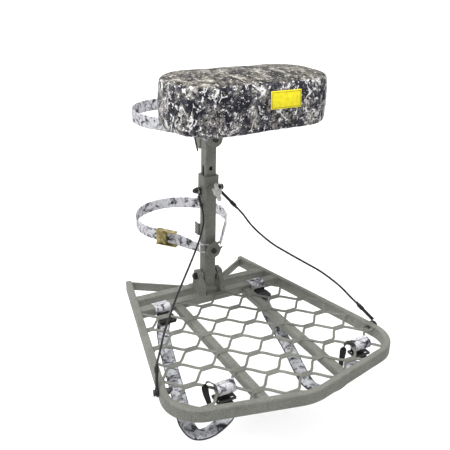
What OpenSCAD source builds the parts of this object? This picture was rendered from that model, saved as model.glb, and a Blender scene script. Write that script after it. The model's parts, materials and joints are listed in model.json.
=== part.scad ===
// Hang-on tree stand: folding platform, telescoping seat post, padded flip-up seat,
// two trunk straps, two platform cables and stowed shoulder straps.
// The origin is on the trunk's axis at the lower strap's mid-height, +Z up, front towards -Y.

/* [Trunk and post] */
// Radius of the trunk that the straps are closed around
trunk_r = 125; // [110:1:150]
// Gap between the trunk and the back of the post
trunk_gap = 21; // [18:1:40]
// Outer width of the lower post's square tube
post_w = 32; // [30:1:34]
// Wall thickness of both post tubes
post_wall = 1.2; // [1.2:0.1:2]
// Gap on each side between the telescoping tubes
slide_gap = 0.3; // [0.2:0.1:0.5]
// Height of the upper strap above the lower strap
strap_rise = 298; // [280:1:320]

/* [Platform] */
// Width between the rail centre lines at the front corners
front_w = 591; // [560:1:620]
// Width between the rail centre lines at the rear tips
rear_w = 349; // [330:1:370]
// Distance from the front corners to the rear tips, front to back
side_run = 550; // [530:1:570]
// Distance that the front rail's middle stands ahead of its corners
nose_run = 70; // [50:1:80]
// Width of the rails' rectangular tube
rail_w = 16; // [14:1:20]
// Height of the rails' rectangular tube
rail_h = 30; // [26:1:34]
// Bend radius of the front corners, at the tube's centre line
corner_r = 76; // [60:1:90]
// Bend radius of the front rail's middle
nose_r = 120; // [80:1:160]
// Height of the platform's top face under the lower strap
deck_drop = 142; // [135:1:150]

/* [Deck mesh] */
// Long pitch of the mesh, side to side
mesh_long = 120; // [110:1:130]
// Short pitch of the mesh, front to back
mesh_short = 79; // [72:1:84]
// Width of a mesh strand
strand_w = 5.5; // [4.5:0.5:7]
// Thickness of the mesh sheet
mesh_t = 3.5; // [3:0.5:5]
// Length of the bond where two strands meet
bond_len = 28; // [22:1:34]

/* [Seat] */
// Width of the seat cushion
seat_w = 372; // [350:1:390]
// Depth of the seat cushion, front to back
seat_d = 196; // [185:1:215]
// Height of the cushion's side
seat_h = 102; // [90:1:110]
// Rise of the cushion's crown over its sides
crown_h = 12; // [6:1:20]
// Height of the seat hinge over the lower strap
hinge_z = 324; // [320:1:330]

/* [Straps and cables] */
// Width of the trunk straps' webbing
web_w = 32; // [25:1:38]
// Thickness of the webbing
web_t = 2; // [1.5:0.5:3]
// Diameter of the coated steel cables
cable_d = 5; // [4:0.5:6]

/* [Hidden] */
$fn = 48;

steel_green = [0.50, 0.51, 0.46];
steel_dark = [0.15, 0.15, 0.15];
web_grey = [0.62, 0.62, 0.64];

// Post and its heights
post_y = -(trunk_r + trunk_gap + post_w / 2);
deck_z = -deck_drop;
pivot_up = 44;
pivot_z = deck_z + pivot_up;
lower_post_z0 = deck_z + 19;
collar_z0 = deck_z + 262;
collar_h = 59;
collar_w = 42;
cross_z = deck_z + 283;
lock_z = deck_z + 290;
upper_w = post_w - 2 * (post_wall + slide_gap);
upper_z0 = deck_z + 190;
upper_z1 = hinge_z - 14;
hole_pitch = 25;
slot_r = 4.6;
slot_down = 27;
slot_up = 59;
hinge_y = post_y - 36;
button_z = deck_z + 125;
upper_button_z = deck_z + 419;

// Platform outline, from the left rear tip round the front to the right rear tip
rear_y = post_y + 129;
corner_y = rear_y - side_run;
nose_y = corner_y - nose_run;
outline = [[-rear_w / 2, rear_y], [-front_w / 2, corner_y], [0, nose_y],
    [front_w / 2, corner_y], [rear_w / 2, rear_y]];
bend_r = [0, corner_r, nose_r, corner_r, 0];
rail_z = deck_z - rail_h / 2;
tube_wall = 1.5;
seam = 0.02;
rod_gap = 1.2;
bar_d = 25;
bar_h = 22;
rear_bar_y = post_y + 18 + bar_d / 2;
front_bar_y = post_y - 36 + bar_d / 2;
mesh_z = deck_z - 3.5 - mesh_t;
mesh_rear_y = front_bar_y - bar_d / 2;
mesh_shift = 80;
cable_bolt_y = post_y - 338;
spare_step = 27;
ear_x = 22;
ear_t = 11;

// Cable routes, from the upper sleeve to the lower sleeve
left_top = [[-28, -163, 126], [-22, -171, 98]];
left_route = [[-22, -171, 98], [-22, -179, 78], [-27, -189, 60], [-39, -202, 42],
    [-57, -221, 26], [-77, -242, 13], [-105, -271, -3], [-139, -307, -19], [-173, -344, -35],
    [-211, -390, -52], [-239, -425, -65], [-265, -462, -80], [-283, -486, -94]];
left_end = [[-283, -486, -95], [-289, -499, -136.5]];
right_top = [[34.5, -170, 129], [61, -198, 95]];
right_route = [[61, -198, 95], [73, -213, 78], [86, -230, 55], [102, -250, 34],
    [124, -280, 12], [148, -311, -4], [176, -346, -21], [205, -382, -39], [232, -420, -64],
    [251, -446, -89], [263, -461, -104]];
right_end = [[263, -461, -104], [287.5, -495, -137]];

// Where the shoulder straps' ends wrap the front crossbar and a bond of the mesh
rear_wrap_x = [-145, 136];
front_wrap_x = [-160, 200];
bond_y = mesh_rear_y - 38.5 - mesh_short * 4;
sling_w = 32;
wrap_w = 44;
sling_t = 6;
// Shoulder strap routes, under the deck from the rear wrap to the front wrap
left_sling = [[-148, -214, -174], [-168, -250, -178], [-191, -320, -180], [-211, -395, -184],
    [-228, -465, -189], [-242, -520, -194], [-249, -556, -204], [-241, -582, -214],
    [-219, -592, -212], [-191, -590, -204], [-166, -580, -195], [-157, -562, -188]];
right_sling = [[136, -214, -174], [133, -240, -182], [114, -300, -187], [104, -365, -198],
    [91, -430, -205], [72, -490, -206], [55, -545, -203], [50, -578, -199],
    [60, -600, -196], [84, -607, -193], [113, -601, -190], [138, -591, -188],
    [162, -577, -186], [184, -562, -184]];

// ---------- functions ----------
function unit(v) = v / norm(v);
function heading(p, q) = atan2(q.y - p.y, q.x - p.x);
function left_of(v) = [-v.y, v.x];
// Turn at point i of the platform outline, in degrees
function turn_at(i) = let (a = heading(outline[i - 1], outline[i]),
    b = heading(outline[i], outline[i + 1])) (b - a + 360) % 360;
// Length that the bend at point i takes from each straight
function setback(i) = bend_r[i] == 0 ? 0 : bend_r[i] * tan(turn_at(i) / 2);
// Ends of the straight from point i to point i + 1
function run_start(i) = outline[i] + unit(outline[i + 1] - outline[i]) * setback(i);
function run_end(i) = outline[i + 1] - unit(outline[i + 1] - outline[i]) * setback(i + 1);
function bend_centre(i) = run_end(i - 1)
    + left_of(unit(outline[i] - outline[i - 1])) * bend_r[i];
// Points of the bend at point i, at radius r
function bend_points(i, r, n) = let (a0 = heading(outline[i - 1], outline[i]) - 90)
    [for (k = [0:n]) bend_centre(i) + r * [cos(a0 + turn_at(i) * k / n),
        sin(a0 + turn_at(i) * k / n)]];
// A point on the curve through a route, between points i and i + 1
function spline_point(p, i, t) = let (n = len(p), a = p[max(i - 1, 0)], b = p[i],
    c = p[i + 1], d = p[min(i + 2, n - 1)])
    b + (c - a) * t / 2 + (2 * a - 5 * b + 4 * c - d) * t * t / 2
        + (3 * b - a - 3 * c + d) * t * t * t / 2;
function smooth(p, steps) = [for (i = [0:len(p) - 2], k = [0:steps - 1])
    spline_point(p, i, k / steps), p[len(p) - 1]];
function tangent(p, i) = unit(p[min(i + 1, len(p) - 1)] - p[max(i - 1, 0)]);
// Sideways direction of a route that lies flat
function level_side(t) = unit(cross(t, [0, 0, 1]));

// ---------- shared shapes ----------
// Cross-section of a rectangular tube with true round corners
module rounded_rect(w, h, r) {
    square([w - 2 * r, h], center = true);
    square([w, h - 2 * r], center = true);
    for (x = [-1, 1], y = [-1, 1])
        translate([x * (w / 2 - r), y * (h / 2 - r)]) circle(r);
}
module tube_section(w, h, r, wall) {
    difference() {
        rounded_rect(w, h, r);
        rounded_rect(w - 2 * wall, h - 2 * wall, r - wall);
    }
}
module rail_section() {
    tube_section(rail_w, rail_h, 4, tube_wall);
}
// Straight rail between two plan points, a hair short of the bends at its ends
module rail_run(p, q) {
    translate([p.x, p.y, rail_z]) rotate([0, 0, heading(p, q)]) rotate([90, 0, 90])
        translate([0, 0, seam]) linear_extrude(norm(q - p) - 2 * seam) rail_section();
}
module rail_bend(i) {
    c = bend_centre(i);
    translate([c.x, c.y, rail_z]) rotate([0, 0, heading(outline[i - 1], outline[i]) - 90])
        rotate_extrude(angle = turn_at(i)) translate([bend_r[i], 0]) rail_section();
}
// A cylinder between two points, stopping short of the first
module rod(p, q, r) {
    v = q - p;
    translate(p) rotate([0, acos(v.z / norm(v)), atan2(v.y, v.x)])
        translate([0, 0, rod_gap]) cylinder(r = r, h = norm(v) - rod_gap);
}
module along_x(x, y, z, r, h) {
    translate([x, y, z]) rotate([0, 90, 0]) cylinder(r = r, h = h);
}
module along_front(x, y, z, r, h) {
    translate([x, y, z]) rotate([90, 0, 0]) cylinder(r = r, h = h);
}
module hex_x(x, y, z, across, h) {
    translate([x, y, z]) rotate([0, 90, 0]) cylinder(d = across / cos(30), h = h, $fn = 6);
}
module ring_x(x, y, z, r_out, r_in, h) {
    translate([x, y, z]) rotate([0, 90, 0]) difference() {
        cylinder(r = r_out, h = h);
        translate([0, 0, -1]) cylinder(r = r_in, h = h + 2);
    }
}
// A round tube of 8 sides swept along a smoothed route
module cord_tube(route, steps, d) {
    p = smooth(route, steps);
    n = len(p);
    rings = [for (i = [0:n - 1]) let (t = tangent(p, i), s = level_side(t), u = cross(s, t))
        for (k = [0:7]) p[i] + d / 2 * (cos(45 * k) * s + sin(45 * k) * u)];
    sides = [for (i = [0:n - 2], k = [0:7])
        [8 * i + k, 8 * i + (k + 1) % 8, 8 * (i + 1) + (k + 1) % 8, 8 * (i + 1) + k]];
    ends = [[for (k = [7:-1:0]) k], [for (k = [0:7]) 8 * (n - 1) + k]];
    polyhedron(rings, concat(sides, ends));
}
// A flat strap swept along a smoothed route, lying level across
module flat_strap(route, steps, w, t) {
    p = smooth(route, steps);
    n = len(p);
    rings = [for (i = [0:n - 1]) let (v = tangent(p, i), s = level_side(v), u = cross(s, v))
        for (k = [[-1, -1], [1, -1], [1, 1], [-1, 1]]) p[i] + k.x * w / 2 * s + k.y * t / 2 * u];
    sides = [for (i = [0:n - 2], k = [0:3])
        [4 * i + k, 4 * i + (k + 1) % 4, 4 * (i + 1) + (k + 1) % 4, 4 * (i + 1) + k]];
    polyhedron(rings, concat(sides, [[3, 2, 1, 0], [for (k = [0:3]) 4 * (n - 1) + k]]));
}

// ---------- post ----------
module lower_post() {
    top = collar_z0 + collar_h - 2;
    color(steel_green) difference() {
        translate([0, post_y, lower_post_z0])
            linear_extrude(top - lower_post_z0) tube_section(post_w, post_w, 4, post_wall);
        along_x(-post_w, post_y, pivot_z, 5.1, 2 * post_w);
        along_x(-post_w, post_y, cross_z, 4.1, 2 * post_w);
        along_front(0, post_y, lock_z, 5.6, post_w);
        along_front(0, post_y, button_z, 4.1, post_w);
    }
}
module collar() {
    color(steel_green) difference() {
        union() {
            translate([0, post_y, collar_z0])
                linear_extrude(collar_h) tube_section(collar_w, collar_w, 8, (collar_w - post_w) / 2);
            along_front(0, post_y - collar_w / 2 + 1, lock_z, 11, 7);
        }
        along_x(-collar_w, post_y, cross_z, 4.1, 2 * collar_w);
        along_front(0, post_y, lock_z, 5.1, collar_w);
    }
}
// Channel with pointed teeth that beds against the bark
module trunk_brace(z0, h, w) {
    y0 = post_y + post_w / 2;
    reach = trunk_gap - 1;
    color(steel_green) translate([0, 0, z0]) difference() {
        linear_extrude(h) difference() {
            translate([-w / 2, y0]) square([w, reach]);
            translate([-w / 2 + 3, y0 + 3]) square([w - 6, reach]);
        }
        for (k = [1:3])
            translate([0, y0 + reach, h * k / 4]) rotate([0, 90, 0])
                cylinder(r = h / 9, h = w + 2, center = true, $fn = 4);
    }
}
module lower_trunk_brace() {
    trunk_brace(deck_z + 152, 32, 40);
}
module standoff(z) {
    color(steel_green) difference() {
        along_front(0, post_y - post_w / 2, z, 9, 14);
        along_front(0, post_y, z, 4.1, post_w + 20);
    }
}
// Teardrop plate that keeps the strap's loop on its standoff
module button_plate(y, z, lean) {
    color(steel_green) translate([0, y, z]) rotate([0, lean, 0]) difference() {
        union() {
            along_front(0, 0, 0, 20, 4);
            along_front(0, 0, 17, 8, 4);
            translate([0, -4, 0]) linear_extrude_y([[-18.5, 7.5], [-7.4, 20], [7.4, 20], [18.5, 7.5]]);
        }
        along_front(0, 1, 0, 4.1, 6);
    }
}
module linear_extrude_y(points) {
    translate([0, 4, 0]) rotate([90, 0, 0]) linear_extrude(4) polygon(points);
}
module button_screw(y, z, reach) {
    color(steel_dark) {
        along_front(0, y, z, 7, 4);
        along_front(0, y + reach, z, 4, reach);
    }
}
module lower_standoff() {
    standoff(button_z);
}
module lower_button() {
    button_plate(post_y - post_w / 2 - 14, button_z, 14);
}
module lower_button_screw() {
    button_screw(post_y - post_w / 2 - 18, button_z, 18 + post_wall);
}
module cross_bolt() {
    color(steel_dark) {
        along_x(-38, post_y, cross_z, 4, 74);
        along_x(34, post_y, cross_z, 7.5, 6);
    }
}
// Closed cap nut on the cross bolt's threaded end
module cross_nut() {
    color(steel_dark) difference() {
        union() {
            hex_x(-38, post_y, cross_z, 13, 6.5);
            along_x(-40, post_y, cross_z, 6.3, 2);
            along_x(-44, post_y, cross_z, 4.2, 4);
        }
        along_x(-38.5, post_y, cross_z, 4, 10);
    }
}
module cross_washers() {
    color("silver") for (x = [-31.5, -22.6, 21.1, 32.5])
        ring_x(x, post_y, cross_z, 9.5, 4.1, 1.5);
}

// ---------- trunk straps ----------
lead_angle = acos((trunk_r + 1) / norm([post_w / 2 + 2, post_y - post_w / 2 - 1]));
right_leave = -90 + atan2(post_w / 2 + 3, -(post_y - post_w / 2)) + lead_angle;
left_leave = -180 - right_leave;
buckle_half = 22;
buckle_shift = 18;
buckle_pin_x = 4;
buckle_arc = asin((buckle_half - buckle_shift) / trunk_r);
// Thin upright plate used as one end of a strap's lead
module strap_end(x, y, turn, z, h) {
    translate([x, y, z]) rotate([0, 0, turn]) cube([0.5, web_t, h], center = true);
}
module band(z, a0, a1) {
    translate([0, 0, z]) rotate([0, 0, a0]) rotate_extrude(angle = a1 - a0)
        translate([trunk_r, -web_w / 2]) square([web_t, web_w]);
}
// A plate just past the band's end, on the side that its lead leaves from
module leave_end(a, side, z) {
    r = trunk_r + web_t / 2;
    strap_end(r * cos(a) + side * 0.3 * sin(a), r * sin(a) - side * 0.3 * cos(a), a + 90, z, web_w);
}
module buckle_frame_place(z) {
    a = left_leave;
    translate([trunk_r * cos(a), trunk_r * sin(a), z]) rotate([0, 0, a + 90])
        translate([buckle_shift, 0, 0]) children();
}
module lower_strap() {
    color(web_grey) {
        band(0, right_leave, left_leave + 360 - buckle_arc - 1);
        hull() {
            leave_end(right_leave, 1, 0);
            strap_end(post_w / 2 + 4, post_y - post_w / 2 - 2, right_leave + 90, -9, 22);
        }
    }
}
module lower_strap_tail() {
    color(web_grey) {
        buckle_frame_place(0) translate([-buckle_half, -5 - web_t, -web_w / 2])
            cube([2 * buckle_half + 2, web_t, web_w]);
        hull() {
            buckle_frame_place(0) translate([buckle_half + 2.5, -5 - web_t / 2, 0])
                cube([0.5, web_t, web_w], center = true);
            strap_end(-post_w / 2 - 4, post_y - post_w / 2 - 2, left_leave + 90, -11, 22);
        }
        hull() {
            strap_end(-post_w / 2 - 3, post_y - post_w / 2 - 3, 0, -11, 20);
            strap_end(-10.5, post_y - post_w / 2 - 7, 0, -14, 12);
        }
    }
}
module cam_buckle_frame() {
    color([0.72, 0.60, 0.30]) buckle_frame_place(0) difference() {
        union() {
            translate([-buckle_half, -2.6, -20]) cube([2 * buckle_half, 2.2, 40]);
            for (s = [-1, 1])
                translate([-buckle_half, -17, s * 19 - 1]) cube([2 * buckle_half + 14, 15, 2]);
        }
        translate([buckle_pin_x, -11.5, -25]) cylinder(r = 2.6, h = 50);
    }
}
module cam_buckle_pin() {
    color("silver") buckle_frame_place(0)
        translate([buckle_pin_x, -11.5, -21]) cylinder(r = 2.5, h = 42);
}
module cam_buckle_lever() {
    color([0.78, 0.66, 0.36]) buckle_frame_place(0) difference() {
        union() {
            translate([buckle_pin_x, -11.5, -17.2]) cylinder(r = 4.2, h = 34.4);
            translate([-buckle_half, -15.6, -17.2])
                cube([buckle_half + buckle_pin_x, 2.6, 34.4]);
        }
        translate([buckle_pin_x, -11.5, -20]) cylinder(r = 2.6, h = 40);
    }
}
module upper_strap() {
    color(web_grey) {
        band(strap_rise, right_leave, left_leave + 360);
        for (s = [-1, 1]) hull() {
            leave_end(s > 0 ? right_leave : left_leave, s, strap_rise);
            strap_end(s * (upper_w / 2 + 5), post_y - upper_w / 2 - 3,
                (s > 0 ? right_leave : left_leave) + 90, upper_button_z + 8, 22);
        }
        for (s = [-1, 1]) hull() {
            strap_end(s * (upper_w / 2 + 4), post_y - upper_w / 2 - 4.5, 0, upper_button_z + 8, 20);
            strap_end(s * 10.5, post_y - upper_w / 2 - 7, 0, upper_button_z + 4, 12);
        }
    }
}

// ---------- seat height lock ----------
module wing_screw() {
    tip_y = post_y - upper_w / 2 - 0.5;
    hub_y = post_y - collar_w / 2 - 22;
    color([0.70, 0.71, 0.68]) {
        along_front(0, tip_y, lock_z, 5, tip_y - hub_y);
        along_front(0, hub_y, lock_z, 10.5, 15);
        translate([0, hub_y - 4, lock_z]) rotate([0, -15, 0]) for (s = [-1, 1]) {
            translate([-5.5, -8, s > 0 ? 0 : -20]) cube([11, 8, 20]);
            along_front(0, 0, 20 * s, 5.5, 8);
        }
    }
}

// ---------- cables ----------
module eye(x, y, z) {
    translate([x, y, z]) rotate([0, 90, 0])
        rotate_extrude() translate([9, 0]) circle(2.4);
}
module cable_top_eyes() {
    color(steel_dark) {
        eye(-26.2, post_y, cross_z - 2.4);
        eye(27.2, post_y, cross_z - 2.4);
    }
}
module cable_top_sleeves() {
    color(steel_dark) {
        rod(left_top[1], left_top[0], 4.2);
        rod(right_top[1], right_top[0], 4.6);
    }
}
module left_cable() {
    color("black") cord_tube(left_route, 4, cable_d);
}
module right_cable() {
    color("black") cord_tube(right_route, 5, cable_d);
}
function rail_x(y) = rear_w / 2 + (front_w - rear_w) / 2 * (rear_y - y) / side_run;
rail_lean = atan2((front_w - rear_w) / 2, side_run);
module at_cable_bolt(s) {
    translate([s * rail_x(cable_bolt_y), cable_bolt_y, rail_z + 4]) rotate([0, 0, s * rail_lean])
        children();
}
module cable_bottom_bolts() {
    color(steel_dark) for (s = [-1, 1]) at_cable_bolt(s) rotate([0, s * 90, 0]) {
        translate([0, 0, -15]) cylinder(r = 4, h = 30);
        translate([0, 0, 15]) cylinder(r = 7, h = 4);
    }
}
module cable_bottom_nuts() {
    color(steel_dark) for (s = [-1, 1]) at_cable_bolt(s) rotate([0, s * 90, 0])
        translate([0, 0, -15]) difference() {
            cylinder(d = 13 / cos(30), h = 6.5, $fn = 6);
            translate([0, 0, -1]) cylinder(r = 4, h = 9);
        }
}
module cable_bottom_eyes() {
    color(steel_dark) for (s = [-1, 1]) at_cable_bolt(s) translate([s * 11.5, 0, 2.4])
        rotate([0, 90, 0]) rotate_extrude() translate([9, 0]) circle(2.4);
}
module cable_bottom_sleeves() {
    color(steel_dark) {
        rod(left_end[0], left_end[1], 4.2);
        rod(right_end[0], right_end[1], 4.2);
    }
}

// ---------- platform ----------
module side_rail(s) {
    i = s < 0 ? 0 : 3;
    tip = s < 0 ? outline[0] : outline[4];
    far = s < 0 ? run_end(0) : run_start(3);
    color(steel_green) difference() {
        translate([far.x, far.y, rail_z]) rotate([0, 0, heading(far, tip)])
            rotate([90, 0, 90]) difference() {
                translate([0, 0, seam]) linear_extrude(norm(tip - far) + 2 - seam)
                    rounded_rect(rail_w, rail_h, 4);
                translate([0, 0, -1]) linear_extrude(norm(tip - far) + 1)
                    rounded_rect(rail_w - 2 * tube_wall, rail_h - 2 * tube_wall, 4 - tube_wall);
            }
        for (y = [0, -spare_step])
            at_cable_bolt(s) translate([0, y, 0]) rotate([0, s * 90, 0])
                translate([0, 0, -rail_w]) cylinder(r = 4.1, h = 2 * rail_w);
    }
}
module left_rail() {
    side_rail(-1);
}
module right_rail() {
    side_rail(1);
}
module front_rail() {
    color(steel_green) {
        rail_bend(1);
        rail_run(run_start(1), run_end(1));
        rail_bend(2);
        rail_run(run_start(2), run_end(2));
        rail_bend(3);
    }
}
// Space between the side rails' inner faces, used to trim the crossbars
module between_rails() {
    inset = (rail_w / 2) / cos(rail_lean);
    translate([0, 0, deck_z - 60]) linear_extrude(120)
        polygon([[-rail_x(rear_y) + inset, rear_y], [rail_x(rear_y) - inset, rear_y],
            [rail_x(corner_y) - inset, corner_y], [-rail_x(corner_y) + inset, corner_y]]);
}
module crossbar(y) {
    color(steel_green) intersection() {
        translate([-300, y, deck_z - bar_h / 2]) rotate([90, 0, 90])
            linear_extrude(600) tube_section(bar_d, bar_h, 3, tube_wall);
        between_rails();
    }
}
module rear_crossbar() {
    crossbar(rear_bar_y);
}
module front_crossbar() {
    crossbar(front_bar_y);
}
// Under-deck stringer, cut to the front rail's inner face
module stringer(s) {
    x = s * 100;
    y1 = mesh_rear_y;
    front = nose_y + (abs(x) / (front_w / 2)) * nose_run + rail_w / 2 / cos(turn_at(2) / 2);
    slope = nose_run / (front_w / 2) * 12;
    color(steel_green) difference() {
        translate([x, y1, mesh_z - 10]) rotate([90, 0, 0])
            linear_extrude(y1 - front + slope) tube_section(24, 20, 5, tube_wall);
        translate([x, front, mesh_z - 30]) rotate([0, 0, s * turn_at(2) / 2])
            translate([-40, -80, 0]) cube([80, 80, 60]);
    }
}
module left_stringer() {
    stringer(-1);
}
module right_stringer() {
    stringer(1);
}
// Flat bar on edge from a rail's tip to the rear crossbar, tangent to the trunk
module trunk_bar(s) {
    tip = [s * (rail_x(rear_y - 9) - rail_w / 2 - 0.5), rear_y - 9];
    clear_r = trunk_r + 3.5;
    a = atan2(-tip.y, -tip.x) + s * asin(clear_r / norm(tip));
    color(steel_green) difference() {
        translate([tip.x, tip.y, deck_z - 23]) rotate([0, 0, a]) translate([-6, -2.5, 0])
            cube([190, 5, 22]);
        translate([-200, rear_bar_y - 150 + bar_d / 2, deck_z - 40]) cube([400, 150, 80]);
        translate([s * rail_x(rear_y), rear_y, deck_z - 40]) rotate([0, 0, s * rail_lean])
            translate([s > 0 ? -rail_w / 2 : rail_w / 2 - 60, -100, 0]) cube([60, 200, 80]);
    }
}
module left_trunk_bar() {
    trunk_bar(-1);
}
module right_trunk_bar() {
    trunk_bar(1);
}
// Upright hinge ear welded across both crossbars
module ear(s) {
    color(steel_green) translate([s > 0 ? ear_x : -ear_x - ear_t, post_y, deck_z])
        rotate([90, 0, 90]) difference() {
            union() {
                linear_extrude(ear_t) polygon([[-35, 0], [-35, 29], [-12, pivot_up + 8],
                    [11, pivot_up + 6], [16, pivot_up - 4], [25, 4], [43, 0]]);
                translate([0, pivot_up, 0]) cylinder(r = 17, h = ear_t);
            }
            translate([0, pivot_up, -1]) cylinder(r = 5.1, h = ear_t + 2);
        }
}
module left_ear() {
    ear(-1);
}
module right_ear() {
    ear(1);
}
// Centre of one opening of the mesh
function cell_centre(i, j) = [mesh_shift + mesh_long * i + (j % 2 == 0 ? mesh_long / 2 : 0),
    mesh_rear_y - 38.5 - mesh_short / 2 * j];
// Outline of one opening: a long rounded hexagon that narrows to its tips
module cell() {
    a = mesh_long / 2 - bond_len / 2 + 2;
    b = mesh_short / 2 - strand_w;
    f = bond_len / 2;
    polygon([[-a, 1.5], [-a + 9, 9], [-f - 8, b - 7], [-f + 2, b - 1], [-f + 8, b],
        [f - 8, b], [f - 2, b - 1], [f + 8, b - 7], [a - 9, 9], [a, 1.5],
        [a, -1.5], [a - 9, -9], [f + 8, 7 - b], [f - 2, 1 - b], [f - 8, -b],
        [8 - f, -b], [2 - f, 1 - b], [-f - 8, 7 - b], [9 - a, -9], [-a, -1.5]]);
}
module deck_mesh() {
    inner = rail_w / 2 + 0.1;
    inset = inner / cos(rail_lean);
    color(steel_green) translate([0, 0, mesh_z]) linear_extrude(mesh_t) difference() {
        polygon(concat([[-rail_x(mesh_rear_y) + inset, mesh_rear_y]],
            bend_points(1, corner_r - inner, 12), bend_points(2, nose_r - inner, 4),
            bend_points(3, corner_r - inner, 12), [[rail_x(mesh_rear_y) - inset, mesh_rear_y]]));
        // Trimmed clear of the cable bolts' nuts and of the rear wraps
        for (s = [-1, 1]) translate([s * rail_x(cable_bolt_y), cable_bolt_y])
            rotate([0, 0, s * rail_lean]) translate([-s * 12, 0]) square([14, 19], center = true);
        for (x = rear_wrap_x) translate([x - wrap_w / 2 - 1, mesh_rear_y - 3])
            square([wrap_w + 2, 4]);
        for (j = [-1:12], i = [-4:3])
            translate(cell_centre(i, j)) cell();
    }
}
module pivot_bolt() {
    color(steel_dark) {
        along_x(-ear_x - ear_t - 10, post_y, pivot_z, 5, 2 * (ear_x + ear_t) + 10);
        hex_x(ear_x + ear_t, post_y, pivot_z, 16, 7);
    }
}
module pivot_nut() {
    color(steel_dark) difference() {
        union() {
            hex_x(-ear_x - ear_t - 7, post_y, pivot_z, 17, 7);
            along_x(-ear_x - ear_t - 9, post_y, pivot_z, 7, 2);
        }
        along_x(-ear_x - ear_t - 11, post_y, pivot_z, 5, 12);
    }
}
module pivot_bushes() {
    color("silver") for (x = [-ear_x + 0.2, post_w / 2 + 0.3])
        ring_x(x, post_y, pivot_z, 10, 5.1, ear_x - post_w / 2 - 0.5);
}

// ---------- stowed shoulder straps ----------
module bar_wrap(x, y, z, w, d, h) {
    color(web_grey) translate([x - w / 2, y, z]) rotate([90, 0, 90]) linear_extrude(w)
        difference() {
            rounded_rect(d + 5, h + 5, 4);
            rounded_rect(d + 0.6, h + 0.6, 3);
        }
}
module rear_wraps() {
    for (x = rear_wrap_x) bar_wrap(x, front_bar_y, deck_z - bar_h / 2, wrap_w, bar_d, bar_h);
}
module front_wraps() {
    for (x = front_wrap_x) bar_wrap(x, bond_y, mesh_z + mesh_t / 2 - 6, wrap_w, 26, 24);
}
module slider(x, y, z) {
    color(steel_dark) translate([x, y, z]) difference() {
        linear_extrude(4) rounded_rect(46, 30, 3);
        for (k = [-1, 1]) translate([-19, k * 7 - 3, -1]) cube([38, 6, 6]);
    }
}
module strap_sliders() {
    for (x = rear_wrap_x) slider(x, front_bar_y - bar_d / 2 - 22, deck_z - 26);
    for (x = front_wrap_x) slider(x, bond_y, mesh_z - 24);
}
module left_shoulder_strap() {
    color(web_grey) flat_strap(left_sling, 3, sling_w, sling_t);
}
module right_shoulder_strap() {
    color(web_grey) flat_strap(right_sling, 3, sling_w, sling_t);
}

// ---------- seat post and seat ----------
module upper_post() {
    color(steel_green) difference() {
        translate([0, post_y, upper_z0])
            linear_extrude(upper_z1 - upper_z0) tube_section(upper_w, upper_w, 2.6, post_wall);
        for (k = [-1:2])
            along_front(0, post_y, lock_z + hole_pitch * k, 5.6, post_w);
        for (z = [cross_z - slot_down, cross_z + slot_up])
            along_x(-post_w, post_y, z, slot_r, 2 * post_w);
        translate([-post_w, post_y - slot_r, cross_z - slot_down])
            cube([2 * post_w, 2 * slot_r, slot_down + slot_up]);
        along_front(0, post_y, upper_button_z, 4.1, post_w);
    }
}
module post_cap() {
    color(steel_dark) translate([0, post_y, upper_z1]) linear_extrude(3)
        rounded_rect(upper_w, upper_w, 2.6);
}
module upper_trunk_brace() {
    y0 = post_y + upper_w / 2;
    reach = -trunk_r - 1 - y0;
    z0 = upper_button_z - 34;
    color(steel_green) translate([0, 0, z0]) difference() {
        linear_extrude(34) difference() {
            translate([-18, y0]) square([36, reach]);
            translate([-15, y0 + 3]) square([30, reach]);
        }
        for (k = [1:3])
            translate([0, y0 + reach, 8.5 * k]) rotate([0, 90, 0])
                cylinder(r = 3.8, h = 40, center = true, $fn = 4);
    }
}
module upper_standoff() {
    color(steel_green) difference() {
        along_front(0, post_y - upper_w / 2, upper_button_z, 9, 16);
        along_front(0, post_y, upper_button_z, 4.1, post_w + 20);
    }
}
module upper_button() {
    button_plate(post_y - upper_w / 2 - 16, upper_button_z, 0);
}
module upper_button_screw() {
    button_screw(post_y - upper_w / 2 - 20, upper_button_z, 20 + post_wall);
}
arm_x = upper_w / 2;
arm_front = 118;
hinge_half = arm_x + 6.6;
pan_z = hinge_z + 23;
module seat_arms() {
    color(steel_green) for (s = [-1, 1])
        translate([s > 0 ? arm_x : -arm_x - 3, post_y, 0]) rotate([90, 0, 90]) difference() {
            linear_extrude(3) polygon([[upper_w / 2, hinge_z - 44], [upper_w / 2, upper_z1],
                [-19, hinge_z - 7.5], [-18.7, hinge_z - 2], [-20.8, hinge_z + 8.7],
                [-27.3, hinge_z + 15.2], [-36, pan_z - 0.5], [-arm_front, pan_z - 0.5],
                [-arm_front, pan_z - 8], [-52, hinge_z - 12], [-upper_w / 2, hinge_z - 30]]);
            translate([hinge_y - post_y, hinge_z, -1]) cylinder(r = 4.1, h = 5);
        }
}
module seat_hinge_bolt() {
    color(steel_dark) {
        along_x(-hinge_half - 8, hinge_y, hinge_z, 4, 2 * hinge_half + 8);
        along_x(hinge_half, hinge_y, hinge_z, 6.5, 4.5);
    }
}
module seat_hinge_nut() {
    color(steel_dark) difference() {
        hex_x(-hinge_half - 6.5, hinge_y, hinge_z, 13, 6.5);
        along_x(-hinge_half - 9, hinge_y, hinge_z, 4, 12);
    }
}
seat_y0 = post_y - 262;
seat_z0 = pan_z;
pan_w = 270;
pan_d = 140;
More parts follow.
